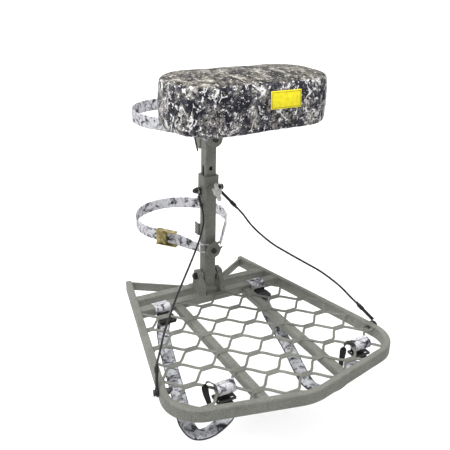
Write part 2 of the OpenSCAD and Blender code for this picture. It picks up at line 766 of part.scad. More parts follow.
// Folded pan with two hinge lugs; the cushion wraps over its edges
module seat_pan() {
    y0 = seat_y0 + 30;
    color(steel_green) {
        difference() {
            translate([-pan_w / 2, y0, pan_z]) cube([pan_w, pan_d, 2.5]);
            at_rivets() cylinder(r = 2.5, h = 9);
        }
        for (y = [y0, y0 + pan_d - 2.5])
            translate([-pan_w / 2, y, pan_z + 2.5]) cube([pan_w, 2.5, 9]);
        for (s = [-1, 1]) translate([s > 0 ? arm_x + 3.4 : -arm_x - 6.4, hinge_y, 0])
            rotate([90, 0, 90]) difference() {
                linear_extrude(3) difference() {
                    union() {
                        translate([0, hinge_z]) circle(11);
                        polygon([[11, hinge_z], [7, pan_z], [-110, pan_z], [-10.6, hinge_z - 3]]);
                    }
                    translate([0, hinge_z]) circle(4.1);
                }
            }
    }
}
module at_rivets() {
    for (x = [-90, 90], y = [55, 135]) translate([x, seat_y0 + y, pan_z - 2]) children();
}
module seat_rivets() {
    color("silver") at_rivets() {
        cylinder(r = 5, h = 2);
        cylinder(r = 2.4, h = 7);
    }
}
// Foam cushion in its fabric cover, hollowed below for the pan
module seat_cushion() {
    corner = 78;
    color([0.45, 0.44, 0.42]) difference() {
        hull() for (x = [-1, 1], y = [0, 1]) {
            translate([x * (seat_w / 2 - corner), seat_y0 + (y == 0 ? corner : seat_d - corner),
                seat_z0 + 8]) cylinder(r = corner, h = seat_h - 20, $fn = 32);
            translate([x * (seat_w / 2 - corner), seat_y0 + (y == 0 ? corner : seat_d - corner),
                seat_z0]) cylinder(r = corner - 8, h = seat_h, $fn = 32);
            translate([x * (seat_w / 2 - 110), seat_y0 + (y == 0 ? 85 : seat_d - 85),
                seat_z0]) cylinder(r = 30, h = seat_h + crown_h, $fn = 32);
        }
        translate([-pan_w / 2 - 1, seat_y0 + 29, seat_z0 - 1])
            cube([pan_w + 2, pan_d + 2, 14]);
    }
}
module seat_label() {
    color([0.9, 0.82, 0.1]) translate([4, seat_y0 - 1.5, hinge_z + 72]) cube([74, 1.3, 36.5]);
}
module seat_drawcord() {
    color("black") rod([-81, post_y - 78, pan_z + 1], [-68, post_y - 78, hinge_z - 60], 2);
}

lower_post();
collar();
lower_trunk_brace();
lower_standoff();
lower_button();
lower_button_screw();
cross_bolt();
cross_nut();
cross_washers();
lower_strap();
lower_strap_tail();
cam_buckle_frame();
cam_buckle_pin();
cam_buckle_lever();
wing_screw();
cable_top_eyes();
cable_top_sleeves();
left_cable();
right_cable();
left_rail();
right_rail();
front_rail();
rear_crossbar();
front_crossbar();
left_stringer();
right_stringer();
left_trunk_bar();
right_trunk_bar();
left_ear();
right_ear();
deck_mesh();
pivot_bolt();
pivot_nut();
pivot_bushes();
cable_bottom_bolts();
cable_bottom_nuts();
cable_bottom_eyes();
cable_bottom_sleeves();
rear_wraps();
front_wraps();
strap_sliders();
left_shoulder_strap();
right_shoulder_strap();
upper_post();
post_cap();
upper_trunk_brace();
upper_standoff();
upper_button();
upper_button_screw();
upper_strap();
seat_arms();
seat_hinge_bolt();
seat_hinge_nut();
seat_pan();
seat_rivets();
seat_cushion();
seat_label();
seat_drawcord();
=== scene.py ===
"""Looks of a hang-on tree stand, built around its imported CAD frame. Metres, in the CAD's frame."""

import json
import math

import bmesh
import bpy
from mathutils import Matrix, Vector, bvhtree, kdtree, noise


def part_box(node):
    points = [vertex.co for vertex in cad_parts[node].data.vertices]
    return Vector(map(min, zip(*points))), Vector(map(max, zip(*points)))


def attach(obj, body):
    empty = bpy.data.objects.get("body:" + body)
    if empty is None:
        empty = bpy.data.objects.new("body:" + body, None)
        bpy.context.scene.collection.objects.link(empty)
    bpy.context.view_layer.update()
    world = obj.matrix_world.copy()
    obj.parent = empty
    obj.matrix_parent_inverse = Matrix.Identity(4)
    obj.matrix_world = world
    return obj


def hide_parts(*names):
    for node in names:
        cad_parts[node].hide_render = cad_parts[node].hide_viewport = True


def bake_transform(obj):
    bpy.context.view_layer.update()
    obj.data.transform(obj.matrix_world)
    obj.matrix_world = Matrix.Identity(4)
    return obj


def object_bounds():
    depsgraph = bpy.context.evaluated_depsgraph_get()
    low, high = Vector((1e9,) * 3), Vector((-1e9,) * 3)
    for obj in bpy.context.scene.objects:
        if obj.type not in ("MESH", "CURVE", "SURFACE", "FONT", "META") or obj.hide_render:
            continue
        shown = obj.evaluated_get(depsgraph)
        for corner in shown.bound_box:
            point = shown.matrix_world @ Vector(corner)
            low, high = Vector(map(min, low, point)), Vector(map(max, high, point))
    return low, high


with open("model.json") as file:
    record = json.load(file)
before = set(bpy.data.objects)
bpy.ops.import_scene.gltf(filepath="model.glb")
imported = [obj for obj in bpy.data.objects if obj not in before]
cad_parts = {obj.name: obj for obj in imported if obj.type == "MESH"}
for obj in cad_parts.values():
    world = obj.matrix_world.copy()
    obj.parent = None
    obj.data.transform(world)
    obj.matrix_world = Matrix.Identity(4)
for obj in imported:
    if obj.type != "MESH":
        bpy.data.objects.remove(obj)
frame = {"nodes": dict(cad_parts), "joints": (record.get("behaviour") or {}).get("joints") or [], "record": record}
NODES = frame["nodes"]
CAD_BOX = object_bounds()
MM = 0.001


def mm(points):
    """Points in mm as vectors in metres."""
    return [Vector(p) * MM for p in points]


# ---------- where things are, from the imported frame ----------
MOUNTS = {m["name"]: m for m in frame["record"]["mounts"]}
TRUNK_R = MOUNTS["lower_strap"]["dims"]["r_mm"] * MM
WEB_W = MOUNTS["lower_strap"]["dims"]["length_mm"] * MM
UPPER_STRAP_Z = MOUNTS["upper_strap"]["pos_m"][2]
POST_LO, POST_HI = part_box("lower_post")
POST_Y = (POST_LO.y + POST_HI.y) / 2
POST_HALF = (POST_HI.x - POST_LO.x) / 2
UPPER_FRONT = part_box("upper_post")[0].y
X_AXIS, Y_AXIS, Z_AXIS = Vector((1, 0, 0)), Vector((0, 1, 0)), Vector((0, 0, 1))


# ---------- camera, at the photograph's viewing angle ----------
CAMERA_AZIMUTH, CAMERA_ELEVATION, CAMERA_ROLL = 29.0, 23.1, 1.2
CAMERA_PLACE = (-0.6937, -1.5041, 0.6868)
LENS, SENSOR = 51.06, 36


def make_camera():
    azimuth, elevation, roll = (math.radians(a) for a in (CAMERA_AZIMUTH, CAMERA_ELEVATION, CAMERA_ROLL))
    right = Vector((math.cos(azimuth), -math.sin(azimuth), 0))
    ahead = Vector((math.sin(azimuth) * math.cos(elevation),
                    math.cos(azimuth) * math.cos(elevation), -math.sin(elevation)))
    up = right.cross(ahead)
    x_axis = right * math.cos(roll) + up * math.sin(roll)
    y_axis = up * math.cos(roll) - right * math.sin(roll)
    place = Matrix((x_axis, y_axis, -ahead)).transposed().to_4x4()
    place.translation = Vector(CAMERA_PLACE)
    data = bpy.data.cameras.new("camera")
    data.lens, data.sensor_width = LENS, SENSOR
    camera = bpy.data.objects.new("camera", data)
    camera.matrix_world = place
    bpy.context.scene.collection.objects.link(camera)
    bpy.context.scene.camera = camera


make_camera()


# ---------- node materials ----------
class Look:
    """A node material under construction."""

    def __init__(self, name, **sockets):
        self.mat = bpy.data.materials.new(name)
        self.mat.use_nodes = True
        self.tree = self.mat.node_tree
        self.shader = self.tree.nodes["Principled BSDF"]
        self.set(self.shader, sockets)

    def set(self, node, sockets):
        for key, value in sockets.items():
            socket = node.inputs[key.replace("_", " ")] if isinstance(key, str) else node.inputs[key]
            if isinstance(value, bpy.types.NodeSocket):
                self.tree.links.new(value, socket)
            else:
                socket.default_value = value

    def add(self, kind, inputs, out=0, **props):
        node = self.tree.nodes.new("ShaderNode" + kind)
        for key, value in props.items():
            setattr(node, key, value)
        self.set(node, inputs)
        return node.outputs[out]

    def point(self, stretch=(1, 1, 1)):
        """Position on the object, stretched."""
        return self.add("Mapping", {"Vector": self.add("TexCoord", {}, out=3), "Scale": stretch})

    def uv(self, stretch=(1, 1, 1)):
        return self.add("Mapping", {"Vector": self.add("TexCoord", {}, out=2), "Scale": stretch})

    def noise(self, vector, scale, detail=3.0, rough=0.55, warp=0.0):
        return self.add("TexNoise", {"Vector": vector, "Scale": scale, "Detail": detail,
                                     "Roughness": rough, "Distortion": warp})

    def cells(self, vector, scale, feature="F1"):
        return self.add("TexVoronoi", {"Vector": vector, "Scale": scale, "Randomness": 1.0}, feature=feature)

    def ramp(self, factor, stops):
        out = self.add("ValToRGB", {"Fac": factor})
        ramp = out.node.color_ramp
        while len(ramp.elements) < len(stops):
            ramp.elements.new(0.5)
        for element, (place, colour) in zip(ramp.elements, stops):
            element.position = place
            grey = (colour,) * 3 if isinstance(colour, (int, float)) else colour
            element.color = (*grey, 1)
        return out

    def mix(self, factor, a, b, mode="MIX"):
        a, b = ((*c, 1) if isinstance(c, tuple) else c for c in (a, b))
        return self.add("Mix", {0: factor, 6: a, 7: b}, out=2, data_type="RGBA", blend_type=mode)

    def math(self, operation, a, b=0.0):
        return self.add("Math", {0: a, 1: b}, operation=operation)

    def bump(self, height, strength, distance, before=None):
        inputs = {"Height": height, "Strength": strength, "Distance": distance}
        if before is not None:
            inputs["Normal"] = before
        return self.add("Bump", inputs)

    def finish(self, **sockets):
        self.set(self.shader, sockets)
        return self.mat


def powder_coat():
    look = Look("frame_coat", Metallic=0.0, Specular_IOR_Level=0.35)
    p = look.point()
    cloud = look.noise(p, 14, 5, 0.6)
    tone = look.ramp(cloud, [(0.3, (0.130, 0.134, 0.115)), (0.7, (0.192, 0.195, 0.171))])
    fleck = look.ramp(look.noise(p, 520, 3, 0.7), [(0.36, 0.10), (0.5, 0.5), (0.64, 0.9)])
    tone = look.mix(0.42, tone, fleck, "OVERLAY")
    scuff = look.ramp(look.noise(look.point((1, 1, 3)), 38, 8, 0.7), [(0.64, 0.0), (0.72, 1.0)])
    tone = look.mix(look.math("MULTIPLY", scuff, 0.3), tone, (0.33, 0.335, 0.31))
    grime = look.ramp(look.noise(look.point((1, 1, 0.5)), 26, 6, 0.7), [(0.30, 0.7), (0.42, 0.0)])
    tone = look.mix(grime, tone, (0.085, 0.088, 0.078))
    rough = look.ramp(look.noise(p, 60, 5), [(0.3, 0.5), (0.7, 0.68)])
    grain = look.bump(look.noise(p, 1400, 2), 0.35, 0.0004)
    pit = look.bump(look.noise(p, 260, 3), 0.2, 0.0007, grain)
    return look.finish(Base_Color=tone, Roughness=rough, Normal=pit)


def dark_metal(name, tone=0.018, rough=0.4):
    look = Look(name, Metallic=0.25, Specular_IOR_Level=0.5)
    p = look.point()
    wear = look.ramp(look.noise(p, 240, 6, 0.7), [(0.55, tone), (0.8, tone * 5)])
    bump = look.bump(look.noise(p, 800, 3), 0.25, 0.0003)
    return look.finish(Base_Color=wear, Normal=bump,
                       Roughness=look.ramp(look.noise(p, 90, 4), [(0.3, rough - 0.1), (0.7, rough + 0.15)]))


def plated(name, light, dark, rough):
    look = Look(name, Metallic=1.0)
    p = look.point()
    stain = look.noise(p, 75, 6, 0.65)
    tone = look.ramp(stain, [(0.35, dark), (0.62, light)])
    scratch = look.noise(look.point((1, 1, 18)), 160, 4, 0.6)
    bump = look.bump(scratch, 0.2, 0.0002, look.bump(look.noise(p, 300, 3), 0.15, 0.0004))
    return look.finish(Base_Color=tone, Normal=bump,
                       Roughness=look.ramp(stain, [(0.35, rough + 0.2), (0.65, rough)]))


def cast_alloy():
    look = Look("cast_alloy", Metallic=0.2)
    p = look.point()
    tone = look.ramp(look.noise(p, 130, 5), [(0.3, (0.40, 0.405, 0.38)), (0.7, (0.58, 0.585, 0.56))])
    bump = look.bump(look.noise(p, 1100, 3), 0.5, 0.0005)
    return look.finish(Base_Color=tone, Normal=bump,
                       Roughness=look.ramp(look.noise(p, 200, 3), [(0.3, 0.48), (0.7, 0.64)]))


def moulded(name, tone, rough, scale=500):
    look = Look(name, Specular_IOR_Level=0.45)
    p = look.point()
    colour = look.ramp(look.noise(p, 60, 5), [(0.3, tone * 0.75), (0.7, tone * 1.5)])
    bump = look.bump(look.noise(p, scale, 3), 0.3, 0.0003)
    return look.finish(Base_Color=colour, Normal=bump,
                       Roughness=look.ramp(look.noise(p, 140, 3), [(0.3, rough - 0.08), (0.7, rough + 0.1)]))


def camo(look, p, scale, light, pale, taupe, slate, dark, shift=0.0):
    """A printed mottle: ragged blotches in two layers, pale twig lines, and specks."""
    warp = look.add("TexNoise", {"Vector": p, "Scale": 15 * scale, "Detail": 2.0}, out=1)
    bent = look.mix(0.05, p, warp, "ADD")
    first = look.noise(bent, 26 * scale, 9, 0.72)
    steps = [(0.432, dark), (0.437, slate), (0.487, slate), (0.492, taupe), (0.548, taupe), (0.553, pale),
             (0.598, pale), (0.603, light)]
    tone = look.ramp(first, [(0.0, dark)] + [(at + shift, ink) for at, ink in steps] + [(1.0, light)])
    other = look.noise(look.add("Mapping", {"Vector": bent, "Location": (3.1, 1.7, 5.3),
                                            "Rotation": (0.4, 0.9, 0.2), "Scale": (1.35, 1.35, 0.75)}),
                       34 * scale, 10, 0.76)
    over = look.ramp(other, [(0.0, light), (0.375, light), (0.38, pale), (0.40, pale), (0.405, slate),
                             (0.56, slate), (0.565, dark), (0.62, dark), (0.625, taupe), (1.0, taupe)])
    cover = look.ramp(other, [(0.0, 1.0), (0.43, 1.0), (0.434, 0.0), (0.552, 0.0), (0.556, 1.0)])
    tone = look.mix(cover, tone, over)
    # Twigs: the edges of long cells, broken up so that only short lengths show
    twig_at = look.add("Mapping", {"Vector": bent, "Scale": (1.5, 1.5, 0.6), "Rotation": (0.5, 0.35, 0.7)})
    edge = look.cells(twig_at, 30 * scale, "DISTANCE_TO_EDGE")
    line = look.ramp(edge, [(0.0, 1.0), (0.02, 1.0), (0.045, 0.0)])
    gate = look.ramp(look.noise(p, 34 * scale, 3), [(0.53, 0.0), (0.57, 1.0)])
    tone = look.mix(look.math("MULTIPLY", line, gate), tone, light)
    speck = look.noise(p, 120 * scale, 5, 0.7)
    tone = look.mix(look.ramp(speck, [(0.585, 0.0), (0.595, 1.0)]), tone, light)
    return look.mix(look.ramp(speck, [(0.415, 1.0), (0.425, 0.0)]), tone, dark)


def seat_fabric():
    look = Look("seat_fabric", Roughness=0.92, Specular_IOR_Level=0.2, Sheen_Weight=0.08,
                Sheen_Roughness=0.5)
    p = look.point()
    side = camo(look, p, 1.0, (0.80, 0.79, 0.78), (0.40, 0.385, 0.37), (0.155, 0.145, 0.135),
                (0.052, 0.053, 0.068), (0.010, 0.010, 0.016), 0.005)
    top = camo(look, look.point((1.0, 0.8, 0.2)), 1.0, (0.46, 0.44, 0.40), (0.22, 0.205, 0.175),
               (0.112, 0.103, 0.087), (0.044, 0.041, 0.038), (0.008, 0.008, 0.009), 0.008)
    height = look.add("SeparateXYZ", {"Vector": look.add("TexCoord", {}, out=3)}, out=2)
    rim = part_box("seat_cushion")[1].z - 0.0115
    wobble = look.math("MULTIPLY", look.math("SUBTRACT", look.noise(p, 40, 4), 0.5), 0.006)
    level = look.math("ADD", height, wobble)
    share = look.add("MapRange", {"Value": level, "From Min": rim - 0.0015, "From Max": rim + 0.0015})
    tone = look.mix(share, side, top)
    knit = look.bump(look.cells(p, 620, "F1"), 0.35, 0.0006)
    fold = look.bump(look.noise(look.point((1, 1, 0.45)), 34, 4, 0.5), 0.3, 0.006, knit)
    return look.finish(Base_Color=tone, Normal=fold)


def webbing(name, light, mid_tone, dark, spread=0.0):
    """Woven tape: UV runs along it in metres, with ribs across its width and painted shade in the grooves between
    them.
    """
    look = Look(name, Roughness=0.72, Specular_IOR_Level=0.3, Sheen_Weight=0.08)
    uv = look.uv()
    p = look.point()
    blotch = look.noise(p, 52, 5, 0.62, 0.7)
    tone = look.ramp(blotch, [(0.0, dark), (0.36 + spread, dark), (0.42 + spread, mid_tone),
                              (0.50 + spread, light), (0.63, light), (0.68, mid_tone), (0.78, dark)])
    fine = look.noise(p, 210, 4, 0.6)
    tone = look.mix(look.ramp(fine, [(0.58, 0.0), (0.64, 0.8)]), tone, mid_tone)
    tone = look.mix(look.ramp(fine, [(0.28, 0.9), (0.34, 0.0)]), tone, dark)
    rib = look.add("TexWave", {"Vector": look.uv((1, 1, 1)), "Scale": 95.0, "Distortion": 0.0},
                   wave_type="BANDS", bands_direction="Y")
    row = look.add("TexWave", {"Vector": look.uv((1, 1, 1)), "Scale": 210.0, "Distortion": 0.6,
                               "Detail": 1.0}, wave_type="BANDS", bands_direction="DIAGONAL")
    # Painted shade: the colour darkens a little in the grooves between the ribs, following the rib bump's height.
    tone = look.mix(0.18, tone, look.ramp(rib, [(0.0, 0.05), (0.5, 0.7)]), "MULTIPLY")
    bump = look.bump(rib, 0.5, 0.0005, look.bump(row, 0.4, 0.0003))
    look.set(rib.node, {"Vector": uv})
    return look.finish(Base_Color=tone, Normal=bump)


def label_patch():
    look = Look("label_patch", Roughness=0.7, Specular_IOR_Level=0.3, Sheen_Weight=0.1)
    p = look.point()
    tone = look.ramp(look.noise(p, 110, 4), [(0.3, (0.78, 0.66, 0.01)), (0.7, (0.95, 0.83, 0.02))])
    weave = look.add("TexWave", {"Vector": p, "Scale": 260.0, "Distortion": 0.4},
                     wave_type="BANDS", bands_direction="DIAGONAL")
    return look.finish(Base_Color=tone, Normal=look.bump(weave, 0.4, 0.0003))


def braid():
    look = Look("drawcord", Roughness=0.8, Sheen_Weight=0.1)
    p = look.point((1, 1, 0.6))
    tone = look.ramp(look.cells(p, 700), [(0.0, 0.05), (0.6, 0.008)])
    return look.finish(Base_Color=tone, Normal=look.bump(look.cells(p, 700), 0.6, 0.0005))


MATS = {
    "frame_coat": powder_coat(),
    "black_hardware": dark_metal("black_hardware"),
    "zinc_hardware": plated("zinc_hardware", (0.66, 0.66, 0.62), (0.36, 0.35, 0.31), 0.28),
    "brass_buckle": plated("brass_buckle", (0.44, 0.37, 0.17), (0.10, 0.08, 0.03), 0.4),
    "cast_alloy": cast_alloy(),
    "webbing": webbing("webbing", (0.66, 0.66, 0.69), (0.22, 0.22, 0.25), (0.02, 0.02, 0.026), 0.015),
    "padded_sling": webbing("padded_sling", (0.52, 0.53, 0.56), (0.19, 0.195, 0.22), (0.02, 0.02, 0.026), 0.03),
    "coated_cable": moulded("coated_cable", 0.005, 0.5, 700),
    "black_plastic": moulded("black_plastic", 0.014, 0.5, 500),
    "seat_fabric": seat_fabric(),
    "label_patch": label_patch(),
    "drawcord": braid(),
}
EDGE_BLACK = moulded("binding", 0.016, 0.85, 900)
BLACK_TAPE = webbing("black_tape", (0.012, 0.012, 0.013), (0.008, 0.008, 0.009), (0.005, 0.005, 0.006))
THREAD = moulded("patch_thread", 0.03, 0.8, 900)

for sub in frame["record"]["subparts"]:
    node = NODES[sub["node"]]
    node.data.materials.clear()
    node.data.materials.append(MATS[sub["material_slot"]])


# ---------- mesh helpers ----------
def spline(points, steps):
    """Points on the smooth curve through a route."""
    out = []
    n = len(points)
    for i in range(n - 1):
        a, b, c, d = points[max(i - 1, 0)], points[i], points[i + 1], points[min(i + 2, n - 1)]
        for k in range(steps):
            t = k / steps
            out.append(b + (c - a) * (t / 2) + (2 * a - 5 * b + 4 * c - d) * (t * t / 2)
                       + (3 * b - a - 3 * c + d) * (t ** 3 / 2))
    return out + [points[-1].copy()]


def build(name, verts, faces, material, uvs=None, smooth=True):
    mesh = bpy.data.meshes.new(name)
    mesh.from_pydata(verts, [], faces)
    mesh.materials.append(MATS[material] if isinstance(material, str) else material)
    if uvs is not None:
        layer = mesh.uv_layers.new(name="uv")
        for loop in mesh.loops:
            layer.data[loop.index].uv = uvs[loop.vertex_index]
    mesh.polygons.foreach_set("use_smooth", [smooth] * len(mesh.polygons))
    obj = bpy.data.objects.new(name, mesh)
    bpy.context.scene.collection.objects.link(obj)
    return obj


def done(obj, body, nodes=()):
    """Turns the normals outwards, hides the CAD nodes that the piece stands for, then ties the piece to its body."""
    bm = bmesh.new()
    bm.from_mesh(obj.data)
    bmesh.ops.recalc_face_normals(bm, faces=bm.faces)
    bm.to_mesh(obj.data)
    bm.free()
    if nodes:
        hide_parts(*nodes)
    if body:
        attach(obj, body)
    return obj


def skin_faces(rows, n, ends=False):
    """Quads between rows of n points each, with flat ends if they are asked for."""
    faces = [(i * n + k, i * n + (k + 1) % n, (i + 1) * n + (k + 1) % n, (i + 1) * n + k)
             for i in range(rows - 1) for k in range(n)]
    if ends:
        faces += [tuple(range(n - 1, -1, -1)), tuple(range((rows - 1) * n, rows * n))]
    return faces


def smooth_step(x, a, b):
    t = min(max((x - a) / (b - a), 0), 1)
    return t * t * (3 - 2 * t)


def length_of(path):
    return sum((b - a).length for a, b in zip(path, path[1:]))


def tangents(path):
    n = len(path)
    return [(path[min(i + 1, n - 1)] - path[max(i - 1, 0)]).normalized() for i in range(n)]


def sweep(path, sides, rings):
    """Vertices, faces and UVs of a closed skin; rings[i] is the section at path[i], in (across, out) pairs."""
    verts, uvs = [], []
    along = 0.0
    for i, (p, t) in enumerate(zip(path, tangents(path))):
        if i:
            along += (p - path[i - 1]).length
        s = (sides[i] - t * sides[i].dot(t)).normalized()
        u = s.cross(t)
        for x, y in rings[i]:
            verts.append(p + s * x + u * y)
            uvs.append((along, x))
    return verts, skin_faces(len(path), len(rings[0]), True), uvs


def flat_section(w, t):
    """Section of a woven tape, with rounded edges."""
    top = [(x * w / 2, t / 2 * (0.2 if abs(x) == 1 else 1)) for x in (-1, -0.94, -0.6, -0.2, 0.2, 0.6, 0.94, 1)]
    return top + [(x, -y) for x, y in reversed(top)]


def round_section(rx, ry, n=12):
    return [(rx * math.cos(2 * math.pi * k / n), ry * math.sin(2 * math.pi * k / n)) for k in range(n)]


def strap(name, route, sizes, steps):
    """An upright tape along a route; sizes: its (width, thickness) at each route point."""
    path = spline(route, steps)
    size = spline([Vector((w, t, 0)) for w, t in sizes], steps)
    verts, faces, uvs = sweep(path, [Z_AXIS] * len(path), [flat_section(s.x, s.y) for s in size])
    return build(name, verts, faces, "webbing", uvs)


def soften(obj, width):
    """A small rounded edge, as a modifier."""
    mod = obj.modifiers.new("edge", "BEVEL")
    mod.width = width
    mod.segments = 2
    mod.limit_method = "ANGLE"
    mod.angle_limit = math.radians(40)
    mod.use_clamp_overlap = True


def join(name, parts, material, smooth=True):
    """One object from several parts, each (vertices, faces) or (vertices, faces, UVs)."""
    verts, faces, uvs = [], [], []
    for v, f, *uv in parts:
        base = len(verts)
        verts += v
        faces += [tuple(base + i for i in face) for face in f]
        uvs += uv[0] if uv else []
    return build(name, verts, faces, material, uvs or None, smooth)


def steady_sides(path):
    """Width directions that don't twist along a path."""
    t = tangents(path)
    side = t[0].orthogonal().normalized()
    out = []
    for v in t:
        side = (side - v * side.dot(v)).normalized()
        out.append(side.copy())
    return out


def level_sides(path):
    return [t.cross(Z_AXIS).normalized() for t in tangents(path)]


def tube(path, radius, n=8):
    """Skin of a round rod along a path; radius is a number or one per point."""
    radii = radius if isinstance(radius, (list, tuple)) else [radius] * len(path)
    return sweep(path, steady_sides(path), [round_section(r, r, n) for r in radii])[:2]


def prism(outline, base, ax, ay, az):
    """A plate: an outline in the (ax, ay) plane at base, carried along az."""
    n = len(outline)
    verts = [base + ax * x + ay * y + az * k for k in (0, 1) for x, y in outline]
    faces = [tuple(range(n - 1, -1, -1)), tuple(range(n, 2 * n))]
    faces += [(i, (i + 1) % n, n + (i + 1) % n, n + i) for i in range(n)]
    return verts, faces


def ball(centre, rx, ry, rz, n):
    verts = []
    rows = n // 2
    for i in range(rows + 1):
        lat = math.pi * (i / rows - 0.5)
        for k in range(n):
            lon = 2 * math.pi * k / n
            verts.append(centre + Vector((rx * math.cos(lat) * math.cos(lon),
                                          ry * math.cos(lat) * math.sin(lon), rz * math.sin(lat))))
    return verts, skin_faces(rows + 1, n)


def lathe(profile, base, axis, n=32):
    """Turned shape: (distance along the axis, radius) pairs."""
    side = axis.orthogonal().normalized()
    up = axis.cross(side)
    verts = []
    for d, r in profile:
        for k in range(n):
            a = 2 * math.pi * k / n
            verts.append(base + axis * d + side * (r * math.cos(a)) + up * (r * math.sin(a)))
    return verts, skin_faces(len(profile), n, True)


def bake(obj):
    """Applies an object's modifiers to its mesh."""
    shown = bpy.data.meshes.new_from_object(obj.evaluated_get(bpy.context.evaluated_depsgraph_get()))
    old = obj.data
    obj.modifiers.clear()
    obj.data = shown
    shown.polygons.foreach_set("use_smooth", [True] * len(shown.polygons))
    bpy.data.meshes.remove(old)


def fuse(obj, voxel, smooth):
    """One smooth skin over overlapping shapes."""
    skin = obj.modifiers.new("skin", "REMESH")
    skin.mode = "VOXEL"
    skin.voxel_size = voxel
    ease = obj.modifiers.new("ease", "SMOOTH")
    ease.factor = 0.5
    ease.iterations = smooth
    bake(obj)


# ---------- cables ----------
ROUTES = {
    "left": [(-22, -171, 98), (-22, -179, 78), (-27, -189, 60), (-39, -202, 42), (-57, -221, 26),
             (-77, -242, 13), (-105, -271, -3), (-139, -307, -19), (-173, -344, -35), (-211, -390, -52),
             (-239, -425, -65), (-265, -462, -80), (-283, -486, -94)],
    "right": [(61, -198, 95), (73, -213, 78), (86, -230, 55), (102, -250, 34), (124, -280, 12),
              (148, -311, -4), (176, -346, -21), (205, -382, -39), (232, -420, -64), (251, -446, -89),
              (263, -461, -104)],
}
SLEEVES = {
    "left": [((-22, -171, 98), (-28, -163, 126)), ((-283, -486, -95), (-289, -499, -136.5))],
    "right": [((61, -198, 95), (32.5, -168, 131)), ((263, -461, -104), (287.5, -495, -137))],
}
CABLE_D = 0.005


def make_cables():
    for side, route in ROUTES.items():
        path = spline(mm(route), 8)
        section = round_section(CABLE_D / 2, CABLE_D / 2)
        verts, faces, uvs = sweep(path, level_sides(path), [section] * len(path))
        cable = build(side + "_cable_run", verts, faces, "coated_cable", uvs)
        done(cable, None, [side + "_cable"])
        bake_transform(cable)


def sleeve(cable_end, eye_end):
    """Two strands under a shrunk sleeve, with a crimped ferrule and the cut strand at the cable's end."""
    a, b = mm((cable_end, eye_end))
    axis = (b - a).normalized()
    flat = axis.cross(X_AXIS).normalized()
    # (share of the length, half width, half thickness in mm)
    profile = [(0.0, 2.86, 3.12), (0.04, 4.29, 3.96), (0.07, 5.72, 4.68), (0.30, 5.83, 4.8),
               (0.34, 5.17, 3.96), (0.38, 4.84, 3.24), (0.55, 4.95, 3.18), (0.80, 5.06, 3.12),
               (0.93, 5.39, 3.12), (1.0, 5.83, 2.88)]
    path = [a.lerp(b, share) for share, _, _ in profile]
    rings = [round_section(wide * MM, thick * MM, 18) for _, wide, thick in profile]
    parts = [sweep(path, [flat] * len(path), rings)[:2]]
    stub = a + flat * 2.6 * MM
    parts.append(tube([stub + axis * 2 * MM, stub - axis * 5 * MM, stub - axis * 5.6 * MM],
                      [2.4 * MM, 2.4 * MM, 1.6 * MM], 10))
    for share in (0.13, 0.19, 0.25):
        ring = [a.lerp(b, share) + flat * 5.4 * MM * math.cos(t * math.pi / 12)
                + axis.cross(flat) * 4.1 * MM * math.sin(t * math.pi / 12) for t in range(25)]
        parts.append(tube(ring, 0.45 * MM, 6))
    return parts


def make_sleeves():
    for which, (node, body) in enumerate((("cable_top_sleeves", "post"), ("cable_bottom_sleeves", "platform"))):
        parts = [part for ends in SLEEVES.values() for part in sleeve(*ends[which])]
        done(join("shrink_" + node, parts, "coated_cable"), body, [node])


# ---------- frame details ----------
OUTLINE = [Vector(p) for p in ((-174.5, -33), (-295.5, -583), (0, -653), (295.5, -583), (174.5, -33))]
RAIL_HALF = 8
MESH_LOW, MESH_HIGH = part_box("deck_mesh")
MESH_REAR = MESH_HIGH.y / MM
MESH_Z = (MESH_LOW.z + MESH_HIGH.z) / 2 / MM
PITCH_X, PITCH_Y, SHIFT_X = 120, 39.5, 80
BOND_HALF = 14
FIRST_ROW, FRONT_WRAP_ROW = 38.5, 8


def row_y(k):
    """Where row k of the mesh's bonds lies."""
    return MESH_REAR - FIRST_ROW - PITCH_Y * k


def bend(i, radius, inset, steps):
    """Plan points of the frame's inner face round one bend of its outline."""
    a, b, c = OUTLINE[i - 1], OUTLINE[i], OUTLINE[i + 1]
    u, v = (b - a).normalized(), (c - b).normalized()
    half = u.angle(v) / 2
    centre = b - u * radius * math.tan(half) + Vector((-u.y, u.x)) * radius
    start = math.atan2(u.y, u.x) - math.pi / 2
    return [centre + (radius - inset) * Vector((math.cos(start + 2 * half * k / steps),
                                                math.sin(start + 2 * half * k / steps)))
            for k in range(steps + 1)]


def inner_outline():
    inset = RAIL_HALF
    corners = bend(1, 76, inset, 12) + bend(2, 120, inset, 4) + bend(3, 76, inset, 12)
    lean = (OUTLINE[0] - OUTLINE[1]).normalized()
    rear = []
    for sign, base in ((-1, OUTLINE[0]), (1, OUTLINE[4])):
        x = abs(base.x) + abs(lean.x / lean.y) * (base.y - MESH_REAR) - inset / abs(lean.y)
        rear.append(Vector((sign * x, MESH_REAR)))
    return [rear[0]] + corners + [rear[1]]


INNER = inner_outline()


def nearest_side(p):
    """How far a plan point stands inside the frame's nearest inner face, and the way out through it."""
    best, out = 1e9, None
    for a, b in zip(INNER, INNER[1:] + INNER[:1]):
        if (b - a).length < 1e-6:
            continue
        e = (b - a).normalized()
        d = (p.x - a.x) * -e.y + (p.y - a.y) * e.x
        if d < best:
            best, out = d, Vector((e.y, -e.x, 0))
    return best, out


def room(p):
    return nearest_side(p)[0]


WRAP_X = {"rear": (-145, 136), "front": (-160, 200)}
WRAP_W = 44


def blocked(p):
    """True where the mesh is cut back for a nut or a wrap."""
    if MESH_REAR - p.y < 3.5 and any(abs(p.x - x) < WRAP_W / 2 + 1.5 for x in WRAP_X["rear"]):
        return True
    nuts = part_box("cable_bottom_nuts")
    mid_y = (nuts[0].y + nuts[1].y) / 2 / MM
    return abs(p.y - mid_y) < 11 and room(p) < 12


